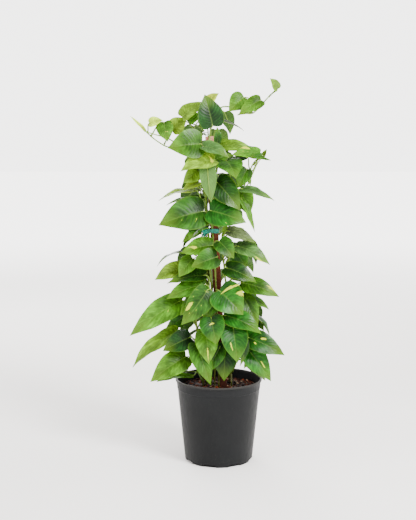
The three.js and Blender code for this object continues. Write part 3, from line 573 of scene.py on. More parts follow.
@dataclass(frozen=True)
class LeafFinish:
    """The skin of a blade, read from its own map of across and along.

    Attributes:
        under: Whether this is the lower face.
        veins: How many veins leave the midrib on each side.
        yellow: The colour of patches and flecks.
        vein: The colour of the midrib.
        margin_and_highlight: The colour that the edge and the tip lean to, partly their own yellower
            green and partly a painted highlight.
        pale: The colour that the lower face leans to.
    """

    under: bool
    veins: float = 13.0
    yellow: Colour = linear(0xA6AE25)
    vein: Colour = linear(0x6A8A35)
    margin_and_highlight: Colour = linear(0x5C7C1A)
    pale: Colour = linear(0x527338)

    def material(self) -> bpy.types.Material:
        """Builds the leaf skin.

        Returns:
            A material that reads the map "leaf" and the attributes tone, marks and patches.
        """
        graph = Graph("leaf_under" if self.under else "leaf_upper")
        uv = graph.node("ShaderNodeUVMap", {}, uv_map="leaf").outputs[0]
        x, y, _ = graph.node("ShaderNodeSeparateXYZ", {0: uv}).outputs
        signed = graph.math("MULTIPLY_ADD", x, 2.0, -1.0)
        across = graph.math("ABSOLUTE", signed)
        bend = graph.product(graph.math("POWER", across, 1.4), 0.15)
        row = graph.math("SUBTRACT", y, bend)
        marks = graph.attribute("marks")
        seed, flecks, gloss = graph.node("ShaderNodeSeparateColor", {0: marks.outputs[0]}).outputs
        uneven = graph.product(graph.grain(graph.place(), 30.0, 1.0), 0.03)
        hand = graph.product(graph.math("SIGN", signed), 0.012)
        phase = graph.product(graph.total(row, hand, uneven), self.veins)
        near = graph.math("PINGPONG", phase, 0.5)
        fade = graph.ease(across, 1.0, 0.55)
        vein = graph.product(graph.ease(near, 0.085, 0.0), fade)
        rib = graph.ease(across, 0.075, 0.02)
        tone = graph.attribute("tone").outputs[0]
        streak = self.streaks(graph, signed, row, seed)
        colour = self.ground(graph, tone, across, near, y, streak)
        colour = graph.mix(graph.product(vein, 0.25 if self.under else 0.06), colour, self.vein)
        colour = graph.mix(graph.product(rib, 0.16), colour, self.vein)
        yellow = graph.math("MAXIMUM", self.flecks(graph, streak, flecks),
                            self.patches(graph, signed, row, streak))
        colour = graph.mix(graph.product(yellow, 0.45 if self.under else 0.92), colour,
                           self.yellow)
        quilt = graph.product(graph.ease(near, 0.0, 0.45), fade)
        height = graph.total(quilt, graph.product(rib, 0.9 if self.under else -0.7))
        normal = graph.bump(height, 0.0007, 0.45 if self.under else 0.4)
        fine = graph.grain(graph.place(), 900.0, 2.0)
        normal = graph.bump(fine, 0.00012, 0.35, normal)
        if self.under:
            return graph.finish(0.1, Base_Color=colour, Roughness=0.62, Normal=normal)
        spots = graph.ease(graph.grain(graph.place(), 45.0), 0.3, 0.7, 0.34, 0.46)
        rough = graph.total(spots, graph.product(gloss, -0.12))
        return graph.finish(0.1, Base_Color=colour, Roughness=rough, Normal=normal)

    def ground(self, graph: Graph, tone: object, across: object, near: object,
               along: object, streak: object) -> bpy.types.NodeSocket:
        """Mixes the green of the blade, with painted shade towards the midrib and the joint and a
        painted highlight at the edge and the tip.

        Args:
            graph: The material's nodes.
            tone: The leaf's own green.
            across: The share of the way from the midrib to the edge.
            near: How near the next vein is, from 0 to a half.
            along: The share of the way from the joint to the tip.
            streak: The streaky noise that marbles it.

        Returns:
            The green without veins and patches.
        """
        cloud = graph.ease(graph.grain(graph.place(), 30.0, 5.0), 0.34, 0.66, 0.55, 1.3)
        # Painted shade: depth and base darken the blade towards the midrib and the joint and lighten
        # it towards the edge and the tip.
        depth = graph.ease(across, 0.0, 0.95, 0.76, 1.16)
        base = graph.ease(along, 0.1, 0.75, 0.72, 1.14)
        stripe = graph.ease(near, 0.05, 0.4, 1.05, 0.95)
        marble = graph.ease(streak, 0.44, 0.66, 0.92, 1.5)
        colour = graph.vary(tone, graph.product(cloud, depth, stripe, base, marble))
        # The edge and the tip lean to a yellow-green that is partly the leaf's own and partly a
        # painted highlight.
        edge = graph.ease(across, 0.88, 1.0, 0.0, 0.24)
        tip = graph.ease(along, 0.66, 1.0, 0.0, 0.45)
        colour = graph.mix(graph.math("MAXIMUM", edge, tip), colour, self.margin_and_highlight)
        return graph.mix(0.55, colour, self.pale) if self.under else colour

    def streaks(self, graph: Graph, signed: object, row: object,
                seed: object) -> bpy.types.NodeSocket:
        """Draws noise out along the side veins.

        Args:
            graph: The material's nodes.
            signed: The place across the blade, from -1 to 1.
            row: The place along it, in line with the side veins.
            seed: The leaf's own number, which gives it streaks of its own.

        Returns:
            The noise, from 0 to 1.
        """
        inputs = {0: graph.product(signed, 1.7), 1: graph.product(row, 13.0),
                  2: graph.product(seed, 61.0)}
        vector = graph.node("ShaderNodeCombineXYZ", inputs).outputs[0]
        return graph.grain(vector, 1.5, 2.0)

    def flecks(self, graph: Graph, streak: object, amount: object) -> bpy.types.NodeSocket:
        """Returns how yellow the scattered flecks are, by the leaf's own amount of them."""
        return graph.ease(graph.total(streak, amount), 1.0, 1.035)

    def patches(self, graph: Graph, signed: object, along: object,
                streak: object) -> bpy.types.NodeSocket:
        """Returns how yellow the leaf's own patches are.

        Args:
            graph: The material's nodes.
            signed: The place across the blade, from -1 to 1.
            along: The place along it, in line with the side veins.
            streak: The streaky noise that frays their edges.

        Returns:
            A share from 0 to 1.
        """
        covers = []
        for name in PATCH_LAYERS:
            patch = graph.attribute(name)
            middle_x, middle_y, wide = graph.node("ShaderNodeSeparateColor",
                                                  {0: patch.outputs[0]}).outputs
            high = patch.outputs["Alpha"]
            off_x = graph.math("DIVIDE", graph.math("SUBTRACT", signed, middle_x), wide)
            off_y = graph.math("DIVIDE", graph.math("SUBTRACT", along, middle_y), high)
            apart = graph.math("SQRT", graph.total(graph.product(off_x, off_x),
                                                   graph.product(off_y, off_y)))
            frayed = graph.math("MULTIPLY_ADD", streak, -1.7, apart)
            covers.append(graph.ease(frayed, 0.25, -0.05))
        return graph.math("MAXIMUM", *covers)


@dataclass(frozen=True)
class StalkFinish:
    """Stems and petioles, green and streaked, with the piece's own tone underneath."""

    roughness: float = 0.42
    bark: Colour = linear(0x5F5428)

    def material(self) -> bpy.types.Material:
        """Builds the skin of stems and petioles.

        Returns:
            The material, darker near the potting mix with painted shade.
        """
        graph = Graph("stalk")
        tone = graph.attribute("tone").outputs[0]
        place = graph.place()
        streak = graph.grain(graph.stretched(place, (1.0, 1.0, 0.12)), 700.0)
        colour = graph.vary(tone, graph.ease(streak, 0.3, 0.7, 0.8, 1.2))
        cloud = graph.ease(graph.grain(place, 60.0), 0.45, 0.7, 0.0, 0.3)
        colour = graph.mix(cloud, colour, self.bark)
        height = graph.height()
        # Painted shade: stems and petioles darken to about a third near the potting mix, under the
        # foliage.
        colour = graph.vary(colour, graph.ease(height, 0.21, 0.36, 0.35, 1.0))
        normal = graph.bump(streak, 0.0003, 0.5)
        return graph.finish(0.15, Base_Color=colour, Roughness=self.roughness, Normal=normal)


@dataclass(frozen=True)
class PotFinish:
    """Dark grey moulded plastic, dusty and lightly scuffed, with a painted highlight on its lip."""

    body: Colour = linear(0x121314)
    dust_and_lip_highlight: Colour = linear(0x33312E)

    def material(self) -> bpy.types.Material:
        """Builds the pot's plastic.

        Returns:
            The material, dusty at the foot, and lighter at the lip with dust and a painted
            highlight.
        """
        graph = Graph("pot_plastic")
        place = graph.place()
        cloud = graph.ease(graph.grain(place, 9.0, 5.0), 0.3, 0.75, 0.86, 1.12)
        colour = graph.vary(self.body, cloud)
        height = graph.height()
        speck = graph.ease(graph.grain(place, 260.0, 6.0), 0.57, 0.72)
        foot = graph.ease(height, 0.05, 0.0, 0.12, 0.6)
        # lip: dust together with a painted highlight lightens the rolled lip
        lip = graph.ease(height, 0.2385, 0.2455, 0.0, 0.55)
        colour = graph.mix(graph.total(graph.product(speck, foot), lip), colour, self.dust_and_lip_highlight)
        rings = graph.grain(graph.stretched(place, (0.5, 0.5, 30.0)), 20.0, 2.0)
        scuff = graph.grain(graph.stretched(place, (30.0, 30.0, 2.0)), 12.0, 4.0)
        rough = graph.ease(scuff, 0.35, 0.7, 0.42, 0.58)
        normal = graph.bump(rings, 0.0002, 0.25)
        normal = graph.bump(graph.grain(place, 1500.0, 2.0), 0.0001, 0.3, normal)
        return graph.finish(0.1, Base_Color=colour, Roughness=rough, Normal=normal)


@dataclass(frozen=True)
class BarkFinish:
    """Moist bark and fine mix, with each chip's own tone."""

    def material(self) -> bpy.types.Material:
        """Builds the bark of the potting mix.

        Returns:
            The material, which reads the attribute tone.
        """
        graph = Graph("bark")
        place = graph.place()
        tone = graph.attribute("tone").outputs[0]
        fibre = graph.grain(graph.stretched(place, (1.0, 0.35, 1.0)), 420.0, 5.0)
        colour = graph.vary(tone, graph.ease(fibre, 0.3, 0.7, 0.55, 1.45))
        rough = graph.ease(graph.grain(place, 160.0), 0.35, 0.65, 0.6, 0.95)
        normal = graph.bump(fibre, 0.0012, 0.8)
        return graph.finish(0.07, Base_Color=colour, Roughness=rough, Normal=normal)


@dataclass(frozen=True)
class StakeFinish:
    """Rough-sawn reddish wood, fresh and brightened by painted light at the top, and darker lower
    down with a stain and painted shade.
    """

    fresh: Colour = linear(0xA2735C)
    sawn: Colour = linear(0x6A3A26)
    stain_and_shade: Colour = linear(0x452014)

    def material(self) -> bpy.types.Material:
        """Builds the stake's wood.

        Returns:
            The material, pale at the fresh top with painted light, and dark near the mix with a
            stain and painted shade.
        """
        graph = Graph("stake_wood")
        place = graph.place()
        height = graph.height()
        cloud = graph.grain(graph.stretched(place, (1.0, 1.0, 0.2)), 55.0, 4.0)
        # worn is the height with a little noise: it sets the stain and painted shade low down and
        # the fresh wood with painted light at the top
        worn = graph.total(height, graph.product(cloud, 0.24))
        colour = graph.mix(graph.ease(worn, 0.62, 0.98), self.stain_and_shade, self.sawn)
        colour = graph.mix(graph.ease(worn, 0.98, 1.07), colour, self.fresh)
        fibre = graph.grain(graph.stretched(place, (1.0, 1.0, 0.035)), 900.0, 5.0)
        colour = graph.vary(colour, graph.ease(fibre, 0.3, 0.7, 0.62, 1.3))
        # Painted shade: the wood darkens to under half near the potting mix.
        colour = graph.vary(colour, graph.ease(height, 0.22, 0.4, 0.45, 1.0))
        saw = graph.grain(graph.stretched(place, (0.2, 0.2, 1.0)), 380.0, 2.0)
        colour = graph.vary(colour, graph.ease(saw, 0.35, 0.65, 0.88, 1.08))
        normal = graph.bump(fibre, 0.0011, 0.8)
        normal = graph.bump(saw, 0.0007, 0.5, normal)
        return graph.finish(0.1, Base_Color=colour, Roughness=0.86, Normal=normal)


@dataclass(frozen=True)
class TapeFinish:
    """Soft teal plastic tape, stretched and shiny."""

    body: Colour = linear(0x01604E)
    light: Colour = linear(0x0F8C74)

    def material(self) -> bpy.types.Material:
        """Builds the tape's plastic.

        Returns:
            The material, streaked where the tape is stretched.
        """
        graph = Graph("tape")
        place = graph.place()
        pull = graph.grain(graph.stretched(place, (1.0, 1.0, 3.5)), 130.0, 3.0)
        colour = graph.mix(graph.ease(pull, 0.42, 0.72), self.body, self.light)
        colour = graph.vary(colour, graph.ease(graph.grain(place, 60.0), 0.3, 0.7, 0.75, 1.2))
        normal = graph.bump(pull, 0.0011, 0.6)
        return graph.finish(0.15, Base_Color=colour, Roughness=0.3, Normal=normal)


@dataclass(frozen=True)
class FloorFinish:
    """A plain pale studio floor that brightens into the lit wall.

    Attributes:
        colour: The paper's colour.
        glow: How much light the far floor adds.
    """

    colour: Colour = (0.955, 0.93, 0.905, 1.0)
    glow: float = 2.8

    def material(self) -> bpy.types.Material:
        """Builds the floor's paper.

        Returns:
            The material, which glows far from the plant.
        """
        graph = Graph("studio_floor")
        place = graph.place()
        cloud = graph.ease(graph.grain(place, 1.5), 0.3, 0.7, 0.985, 1.015)
        away = graph.node("ShaderNodeVectorMath", {0: place}, operation="LENGTH").outputs["Value"]
        glow = graph.ease(away, 0.8, 7.0, 0.0, self.glow)
        return graph.finish(0.1, Base_Color=graph.vary(self.colour, cloud), Roughness=0.9,
                            Emission_Strength=glow)


# Mesh helpers


def save_piece(bm: bmesh.types.BMesh, name: str, materials: Sequence[bpy.types.Material],
               node: str) -> bpy.types.Object:
    """Turns a finished mesh into a piece that stands for a solid.

    Args:
        bm: The mesh, in metres. It is freed.
        name: The piece's name.
        materials: Its materials, in order.
        node: The solid that it stands for.

    Returns:
        The piece.
    """
    mesh = bpy.data.meshes.new(name)
    bm.to_mesh(mesh)
    bm.free()
    for material in materials:
        mesh.materials.append(material)
    piece = bpy.data.objects.new(name, mesh)
    bpy.context.scene.collection.objects.link(piece)
    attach(piece, "root")
    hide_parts(node)
    log.info("%s: %d faces", name, len(mesh.polygons))
    return piece


def append(target: bmesh.types.BMesh, part: bmesh.types.BMesh) -> None:
    """Adds one mesh to another and frees it.

    Args:
        target: The mesh that grows.
        part: The mesh that is added.
    """
    scratch = bpy.data.meshes.new("scratch")
    part.to_mesh(scratch)
    part.free()
    target.from_mesh(scratch)
    bpy.data.meshes.remove(scratch)


def paint(bm: bmesh.types.BMesh, name: str, values: Sequence[float]) -> None:
    """Gives every corner point of a mesh the same value of one attribute.

    Args:
        bm: The mesh.
        name: The attribute's name.
        values: Its four numbers.
    """
    layer = bm.verts.layers.float_color.get(name) or bm.verts.layers.float_color.new(name)
    for vert in bm.verts:
        vert[layer] = values


def paint_between(bm: bmesh.types.BMesh, first: Colour, second: Colour,
                  share: Callable[[Vector], float]) -> None:
    """Gives every corner point a tone between two colours.

    Args:
        bm: The mesh, in metres.
        first: The tone at a share of 0.
        second: The tone at a share of 1.
        share: Gives the share at a place in millimetres.
    """
    layer = bm.verts.layers.float_color.new("tone")
    for vert in bm.verts:
        part = share(vert.co / MM)
        vert[layer] = [between(a, b, part) for a, b in zip(first, second)]


def thicken(bm: bmesh.types.BMesh, thickness: float, lower_material: int) -> None:
    """Makes a closed body of an open sheet.

    Args:
        bm: The sheet, which becomes the lower face.
        thickness: How thick the body is, in metres.
        lower_material: The number of the lower face's material.
    """
    bm.normal_update()
    lower, sheet = set(bm.faces), bm.verts[:]
    offsets = {tuple(vert.co): vert.normal * (thickness / 2) for vert in sheet}
    copies = bmesh.ops.extrude_face_region(bm, geom=list(lower), use_keep_orig=True)["geom"]
    for vert in [item for item in copies if isinstance(item, bmesh.types.BMVert)]:
        vert.co += offsets[tuple(vert.co)]
    upper = {item for item in copies if isinstance(item, bmesh.types.BMFace)}
    for vert in sheet:
        vert.co -= offsets[tuple(vert.co)]
    bmesh.ops.reverse_faces(bm, faces=list(lower))
    for face in bm.faces:
        face.smooth = True
        face.material_index = lower_material if face in lower else 0
    for edge in bm.edges:
        kinds = {0 if face in lower else 1 if face in upper else 2 for face in edge.link_faces}
        edge.smooth = len(kinds) == 1


def sweep(path: Sequence[Vector], radii: Sequence[float], sides: int) -> bmesh.types.BMesh:
    """Draws a round tube along a path with bmesh operators.

    Args:
        path: Its middle line, in millimetres.
        radii: Its radius at each point, in millimetres.
        sides: How many sides it has.

    Returns:
        A closed tube.
    """
    bm = bmesh.new()
    heading = (path[1] - path[0]).normalized()
    turn = UP.rotation_difference(heading)
    last = Matrix.LocRotScale(path[0] * MM, turn, Vector.Fill(3, radii[0] * MM))
    bmesh.ops.create_circle(bm, cap_ends=True, segments=sides, radius=1.0, matrix=last)
    cap = bm.faces[:][0]
    for number in range(1, len(path)):
        ahead = path[min(number + 1, len(path) - 1)] - path[number - 1]
        fresh = ahead.normalized()
        turn = heading.rotation_difference(fresh) @ turn
        heading = fresh
        frame_here = Matrix.LocRotScale(path[number] * MM, turn, Vector.Fill(3, radii[number] * MM))
        made = bmesh.ops.extrude_face_region(bm, geom=[cap], use_keep_orig=number == 1)["geom"]
        corners = [item for item in made if isinstance(item, bmesh.types.BMVert)]
        cap = next(item for item in made if isinstance(item, bmesh.types.BMFace))
        bmesh.ops.transform(bm, matrix=frame_here @ last.inverted(), verts=corners)
        last = frame_here
    bmesh.ops.recalc_face_normals(bm, faces=bm.faces)
    for face in bm.faces:
        face.smooth = len(face.verts) == 4
    return bm


# Stems


def smooth_curve_point(points: Sequence[Vector], share: float) -> Vector:
    """Finds a point of the centripetal curve through some points.

    Args:
        points: The points that it passes.
        share: The place on it, from 0 to 1.

    Returns:
        The point.
    """
    last = len(points) - 1
    place = last * share
    start = min(int(place), last - 1)
    weight = place - start
    here, ahead = points[start], points[start + 1]
    before = points[start - 1] if start > 0 else here * 2 - ahead
    after = points[start + 2] if start + 2 <= last else ahead * 2 - here
    gaps = [(b - a).length_squared ** 0.25 for a, b in
            ((before, here), (here, ahead), (ahead, after))]
    first, middle, final = gaps
    leave = ((here - before) / first - (ahead - before) / (first + middle)
             + (ahead - here) / middle) * middle
    arrive = ((ahead - here) / middle - (after - here) / (middle + final)
              + (after - ahead) / final) * middle
    square = (ahead - here) * 3 - leave * 2 - arrive
    cube = (here - ahead) * 2 + leave + arrive
    return here + leave * weight + square * weight ** 2 + cube * weight ** 3


@dataclass
class Stem:
    """One stem of the plant, with the line that the solid follows."""

    name: str
    points: list[Vector] = field(init=False)
    steps: int = field(init=False)

    def __post_init__(self) -> None:
        """Works out the points that the stem passes."""
        route = [self.placed(entry) for entry in STEM_PATHS[self.name]]
        first = route[0]
        foot = Vector((first.x, first.y, STEM_FOOT))
        collar = Vector((first.x, first.y, SOIL_TOP + SOIL_CROWN + STEM_COLLAR))
        self.points = [foot, collar, *route]
        self.steps = int(math.floor(len(route) * 1.4 + 0.5)) + 3

    @staticmethod
    def placed(entry: tuple) -> Vector:
        """Finds the place of one entry of the stem's route.

        Args:
            entry: The entry, in one of the three forms named above STEM_PATHS.

        Returns:
            The place in the part's frame.
        """
        if entry[0] == "board":
            return from_board(*entry[1:])
        if entry[0] == "stake":
            return Vector((stake_centre(entry[1]) + entry[2], entry[3], entry[1]))
        return Vector(entry)

    def spaced(self, steps: int) -> list[Vector]:
        """Divides the stem's line evenly.

        Args:
            steps: How many stretches there are.

        Returns:
            Their ends.
        """
        chords = [smooth_curve_point(self.points, i / CHORDS) for i in range(CHORDS + 1)]
        lengths = [0.0]
        for before, after in zip(chords, chords[1:]):
            lengths.append(lengths[-1] + (after - before).length)
        places = []
        for step in range(steps + 1):
            wanted = lengths[-1] * step / steps
            index = max(i for i in range(CHORDS) if lengths[i] <= wanted or i == 0)
            part = (wanted - lengths[index]) / (lengths[index + 1] - lengths[index])
            places.append(smooth_curve_point(self.points, min(1.0, (index + part) / CHORDS)))
        return places

    def roots(self) -> list[Vector]:
        """Finds the places where a petiole may grow.

        Returns:
            The places, in the stem's own order.
        """
        line = self.spaced(self.steps)
        places = [a.lerp(b, share) for a, b in zip(line, line[1:]) for share in (0.2, 0.5, 0.8)]
        return [place for place in places if place.z > SOIL_TOP + SOIL_CROWN + LOWEST_ROOT]


# Leaves


def rim_along(share: float) -> float:
    """Returns how far along the blade its edge is, at a share of the way round."""
    return share ** LOBE_CURVE - LOBE_REACH * share * (1 - share) ** 3


def rim_aside(share: float) -> float:
    """Returns how far out the blade's edge is, at a share of the way round."""
    sharpness = 1 - TIP_CURVE * (1 - share * share)
    return max(0.0, math.sin(math.pi * share)) ** sharpness * (1 - TIP_NARROWING * share ** 3)


@dataclass(frozen=True)
class Leaf:
    """One leaf: where its blade starts and ends, how wide it is and how it bends."""

    joint: Vector
    tip: Vector
    width: float
    facing: Vector
    arch: float
    fold: float
    phase: float

    @property
    def length(self) -> float:
        """Returns the length of the blade."""
        return (self.tip - self.joint).length

    def axes(self) -> tuple[Vector, Vector, Vector]:
        """Finds the directions that the blade is drawn by.

        Returns:
            The blade's forward, side and upward directions.
        """
        forward = (self.tip - self.joint).normalized()
        side = forward.cross(self.facing).normalized()
        return forward, side, side.cross(forward).normalized()

    def point(self, aside: float, along: float) -> Vector:
        """Finds a place on the blade.

        Args:
            aside: How far out it is, as a signed share of half the width.
            along: How far along it is, as a share of the length.

        Returns:
            The place on the blade's middle sheet.
        """
        forward, side, normal = self.axes()
        half = self.width / 2
        spread = abs(aside)
        arch = self.arch * self.length * 4 * along * (1 - along)
        fold = half * (self.fold * spread - SIDE_DROOP * spread * spread)
        wave = WAVE_SHARE * self.length * spread * math.sin(WAVE_RATE * along + self.phase)
        return (self.joint + forward * (along * self.length) + side * (aside * half)
                + normal * (arch + fold + wave))

    def shifted(self, direction: Vector, shift: tuple[float, float]) -> "Leaf":
        """Returns the leaf with its joint and tip moved forward."""
        return replace(self, joint=self.joint + direction * shift[0],
                       tip=self.tip + direction * shift[1])

    def marks(self) -> list[Vector]:
        """Finds corners of the solid's midrib, by which a placed leaf is known.

        Returns:
            The corners on the upper face.
        """
        steps = next(steps for least, steps in BLADE_STEPS if self.length > least)
        normal = self.axes()[2] * (BLADE_THICKNESS / 2)
        return [self.point(0, (i / steps) ** MIDRIB_CURVE) + normal for i in range(2, steps + 1)]

    def bow(self, root: Vector, lift: float, steps: int) -> list[Vector]:
        """Draws the petiole from its root to the joint.

        Args:
            root: Where it leaves the stem.
            lift: How steeply it rises.
            steps: How many stretches it has.

        Returns:
            Its points.
        """
        reach = self.joint - root
        distance = reach.length
        outward = Vector((reach.x, reach.y, 0)).normalized()
        arrival = (outward * 0.7 + UP * 0.25 + self.axes()[0] * 0.6).normalized()
        rise = root + UP * (lift * distance) + outward * (0.25 * distance)
        approach = self.joint - arrival * (0.33 * distance)
        return interpolate_bezier(root, rise, approach, self.joint, steps + 1)

    def ring(self, bow: Sequence[Vector]) -> list[Vector]:
        """Finds the corners of the solid petiole's first ring behind the joint.

        Args:
            bow: The petiole's points.

        Returns:
            The three corners.
        """
        forward, side, normal = self.axes()
        centre = bow[-2]
        turn = forward.rotation_difference((bow[-1] - centre).normalized())
        size = PETIOLE_RADIUS / 2
        return [centre + turn @ (normal * rise + side * aside) * size
                for rise, aside in ((2, 0), (-1, 1.73), (-1, -1.73))]

    def roots_by_fit(self, places: Sequence[Vector]) -> list[Vector]:
        """Sorts the places for the petiole's root.

        Args:
            places: The places where a petiole may grow.

        Returns:
            The same places, the best first.
        """
        shortest, longest = PETIOLE_LENGTHS
        wanted = min(longest, max(shortest, PETIOLE_SHARE * self.length))
        return sorted(places, key=lambda place: abs((place - self.joint).length - wanted)
                      + 1.5 * max(0.0, place.z - self.joint.z + 12))


@dataclass(frozen=True)
class PlacedLeaf:
    """A leaf where the solid has it, with its petiole and its looks."""

    leaf: Leaf
    root: Vector
    lift: float
    tone: Tone
    patches: tuple[tuple[float, float, float, float], ...]


def front_leaf(row: tuple, draws: Iterator[float]) -> Leaf:
    """Makes a leaf of the front drawing.

    Args:
        row: Its row.
        draws: The chance draws.

    Returns:
        The leaf before it was given room.
    """
    joint, tip, width, (right, toward, above), arch, _ = row
    fold = between(*LEAF_FOLD, next(draws))
    phase = 2 * math.pi * next(draws)
    facing = Vector((right, -toward, above))
    return Leaf(from_board(*joint), from_board(*tip), width, facing, arch, fold, phase)


def side_room(height: float, sideways: float) -> float:
    """Finds how far the foliage reaches to one side.

    Args:
        height: The height in millimetres.
        sideways: Which side it is, negative on the left.

    Returns:
        The reach in millimetres.
    """
    hand = 1 if sideways < 0 else 2
    upper = max(1, next(i for i, row in enumerate(SIDE_ROOM) if row[0] > height))
    below, above = SIDE_ROOM[upper - 1], SIDE_ROOM[upper]
    return between(below[hand], above[hand], (height - below[0]) / (above[0] - below[0]))


def back_leaf(rule: BackRule, number: int, draws: Iterator[float]) -> Leaf:
    """Makes a leaf that the front drawing doesn't show.

    Args:
        rule: The rule of its stem.
        number: Which leaf of the stem it is.
        draws: The chance draws.

    Returns:
        The leaf before it was given room.
    """
    swing = 1 if number % 2 == 0 else -1
    turn = math.radians(rule.facing + swing * rule.spread * (0.2 + 0.8 * next(draws)))
    length = between(*BACK_LENGTH, next(draws))
    reach = between(*BACK_REACH, next(draws))
    droop = between(*BACK_DROOP, next(draws))
    share = number / (rule.leaves - 1)
    height = between(rule.lowest, rule.highest, share) + BACK_JITTER * (next(draws) - 0.5)
    sideways = math.cos(turn)
    run = 1 - 0.55 * droop
    room = side_room(height, sideways) / (reach + length * run / math.hypot(run, droop))
    kept = math.copysign(min(abs(sideways), room), sideways)
    outward = Vector((kept, math.copysign(math.sqrt(1 - kept * kept), math.sin(turn)), 0))
    joint = Vector((stake_centre(height), 0, height)) + outward * reach
    heading = (outward * run - UP * droop).normalized()
    width = length * (0.62 + 0.12 * next(draws))
    arch = 0.06 + 0.06 * next(draws)
    fold = between(*LEAF_FOLD, next(draws))
    phase = 2 * math.pi * next(draws)
    return Leaf(joint, joint + heading * length, width, outward * 0.8 + UP * 0.5, arch, fold, phase)


def misses(corners: KDTree, points: Sequence[Vector]) -> float:
    """Returns how far points are from a solid's corners on average, each up to a limit."""
    return sum(min(corners.find(point)[2], MATCH_REACH) for point in points) / len(points)


@dataclass
class Foliage:
    """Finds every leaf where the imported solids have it."""

    chance: random.Random = field(default_factory=lambda: random.Random(SEED))
    leaves: dict[str, list[PlacedLeaf]] = field(default_factory=dict)

    def find(self) -> None:
        """Goes through the leaves in the solids' order and finds each one's place."""
        draws = seeded_draws(SEED)
        corners = {name: self.corners(name) for name in STEM_PATHS}
        roots = {name: Stem(name).roots() for name in STEM_PATHS}
        self.leaves = {name: [] for name in STEM_PATHS}
        for name, rows in FRONT_LEAVES.items():
            for number, row in enumerate(rows):
                leaf = front_leaf(row, draws)
                toward = (EYE - leaf.joint).normalized()
                patches = tuple(PATCHES.get((name, number), ()))
                self.match(name, leaf, toward, corners[name], roots[name], row[5], patches)
        for name, rule in BACK_STEMS.items():
            for number in range(rule.leaves):
                leaf = back_leaf(rule, number, draws)
                toward = Vector((leaf.facing.x, leaf.facing.y, 0)).normalized()
                tone = self.chance.choice((DEEP, MID, MID, MID, FRESH, FRESH, BRIGHT, LIME))
                self.match(name, leaf, toward, corners[name], roots[name], tone, ())

    @staticmethod
    def corners(name: str) -> KDTree:
        """Gathers the corner points of one vine's solid.

        Args:
            name: The stem's name.

        Returns:
            The points in millimetres, ready to search.
        """
        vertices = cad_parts[f"vine_{name}"].data.vertices
        tree = KDTree(len(vertices))
        for vertex in vertices:
            tree.insert(vertex.co / MM, vertex.index)
        tree.balance()
        return tree

    def match(self, name: str, leaf: Leaf, toward: Vector, corners: KDTree,
              roots: Sequence[Vector], tone: Tone, patches: tuple) -> None:
        """Keeps a leaf if the solid has it.

        Args:
            name: Its stem.
            leaf: The leaf before it was given room.
            toward: The way that it may have been moved.
            corners: The solid's corner points.
            roots: The places for its petiole's root.
            tone: Its green.
            patches: Its yellow patches.
        """
        placed = min((leaf.shifted(toward, shift) for shift in SHIFTS),
                     key=lambda found: misses(corners, found.marks()))
        if misses(corners, placed.marks()) > MATCH_LIMIT:
            return
        fits = placed.roots_by_fit(roots)
        root, lift = min(((fits[choice], lift) for choice in ROOT_CHOICES for lift in PETIOLE_LIFTS),
                         key=lambda pair: misses(corners, placed.ring(placed.bow(*pair,
                                                                              PETIOLE_STEPS))))
        self.leaves[name].append(PlacedLeaf(placed, root, lift, tone, patches))


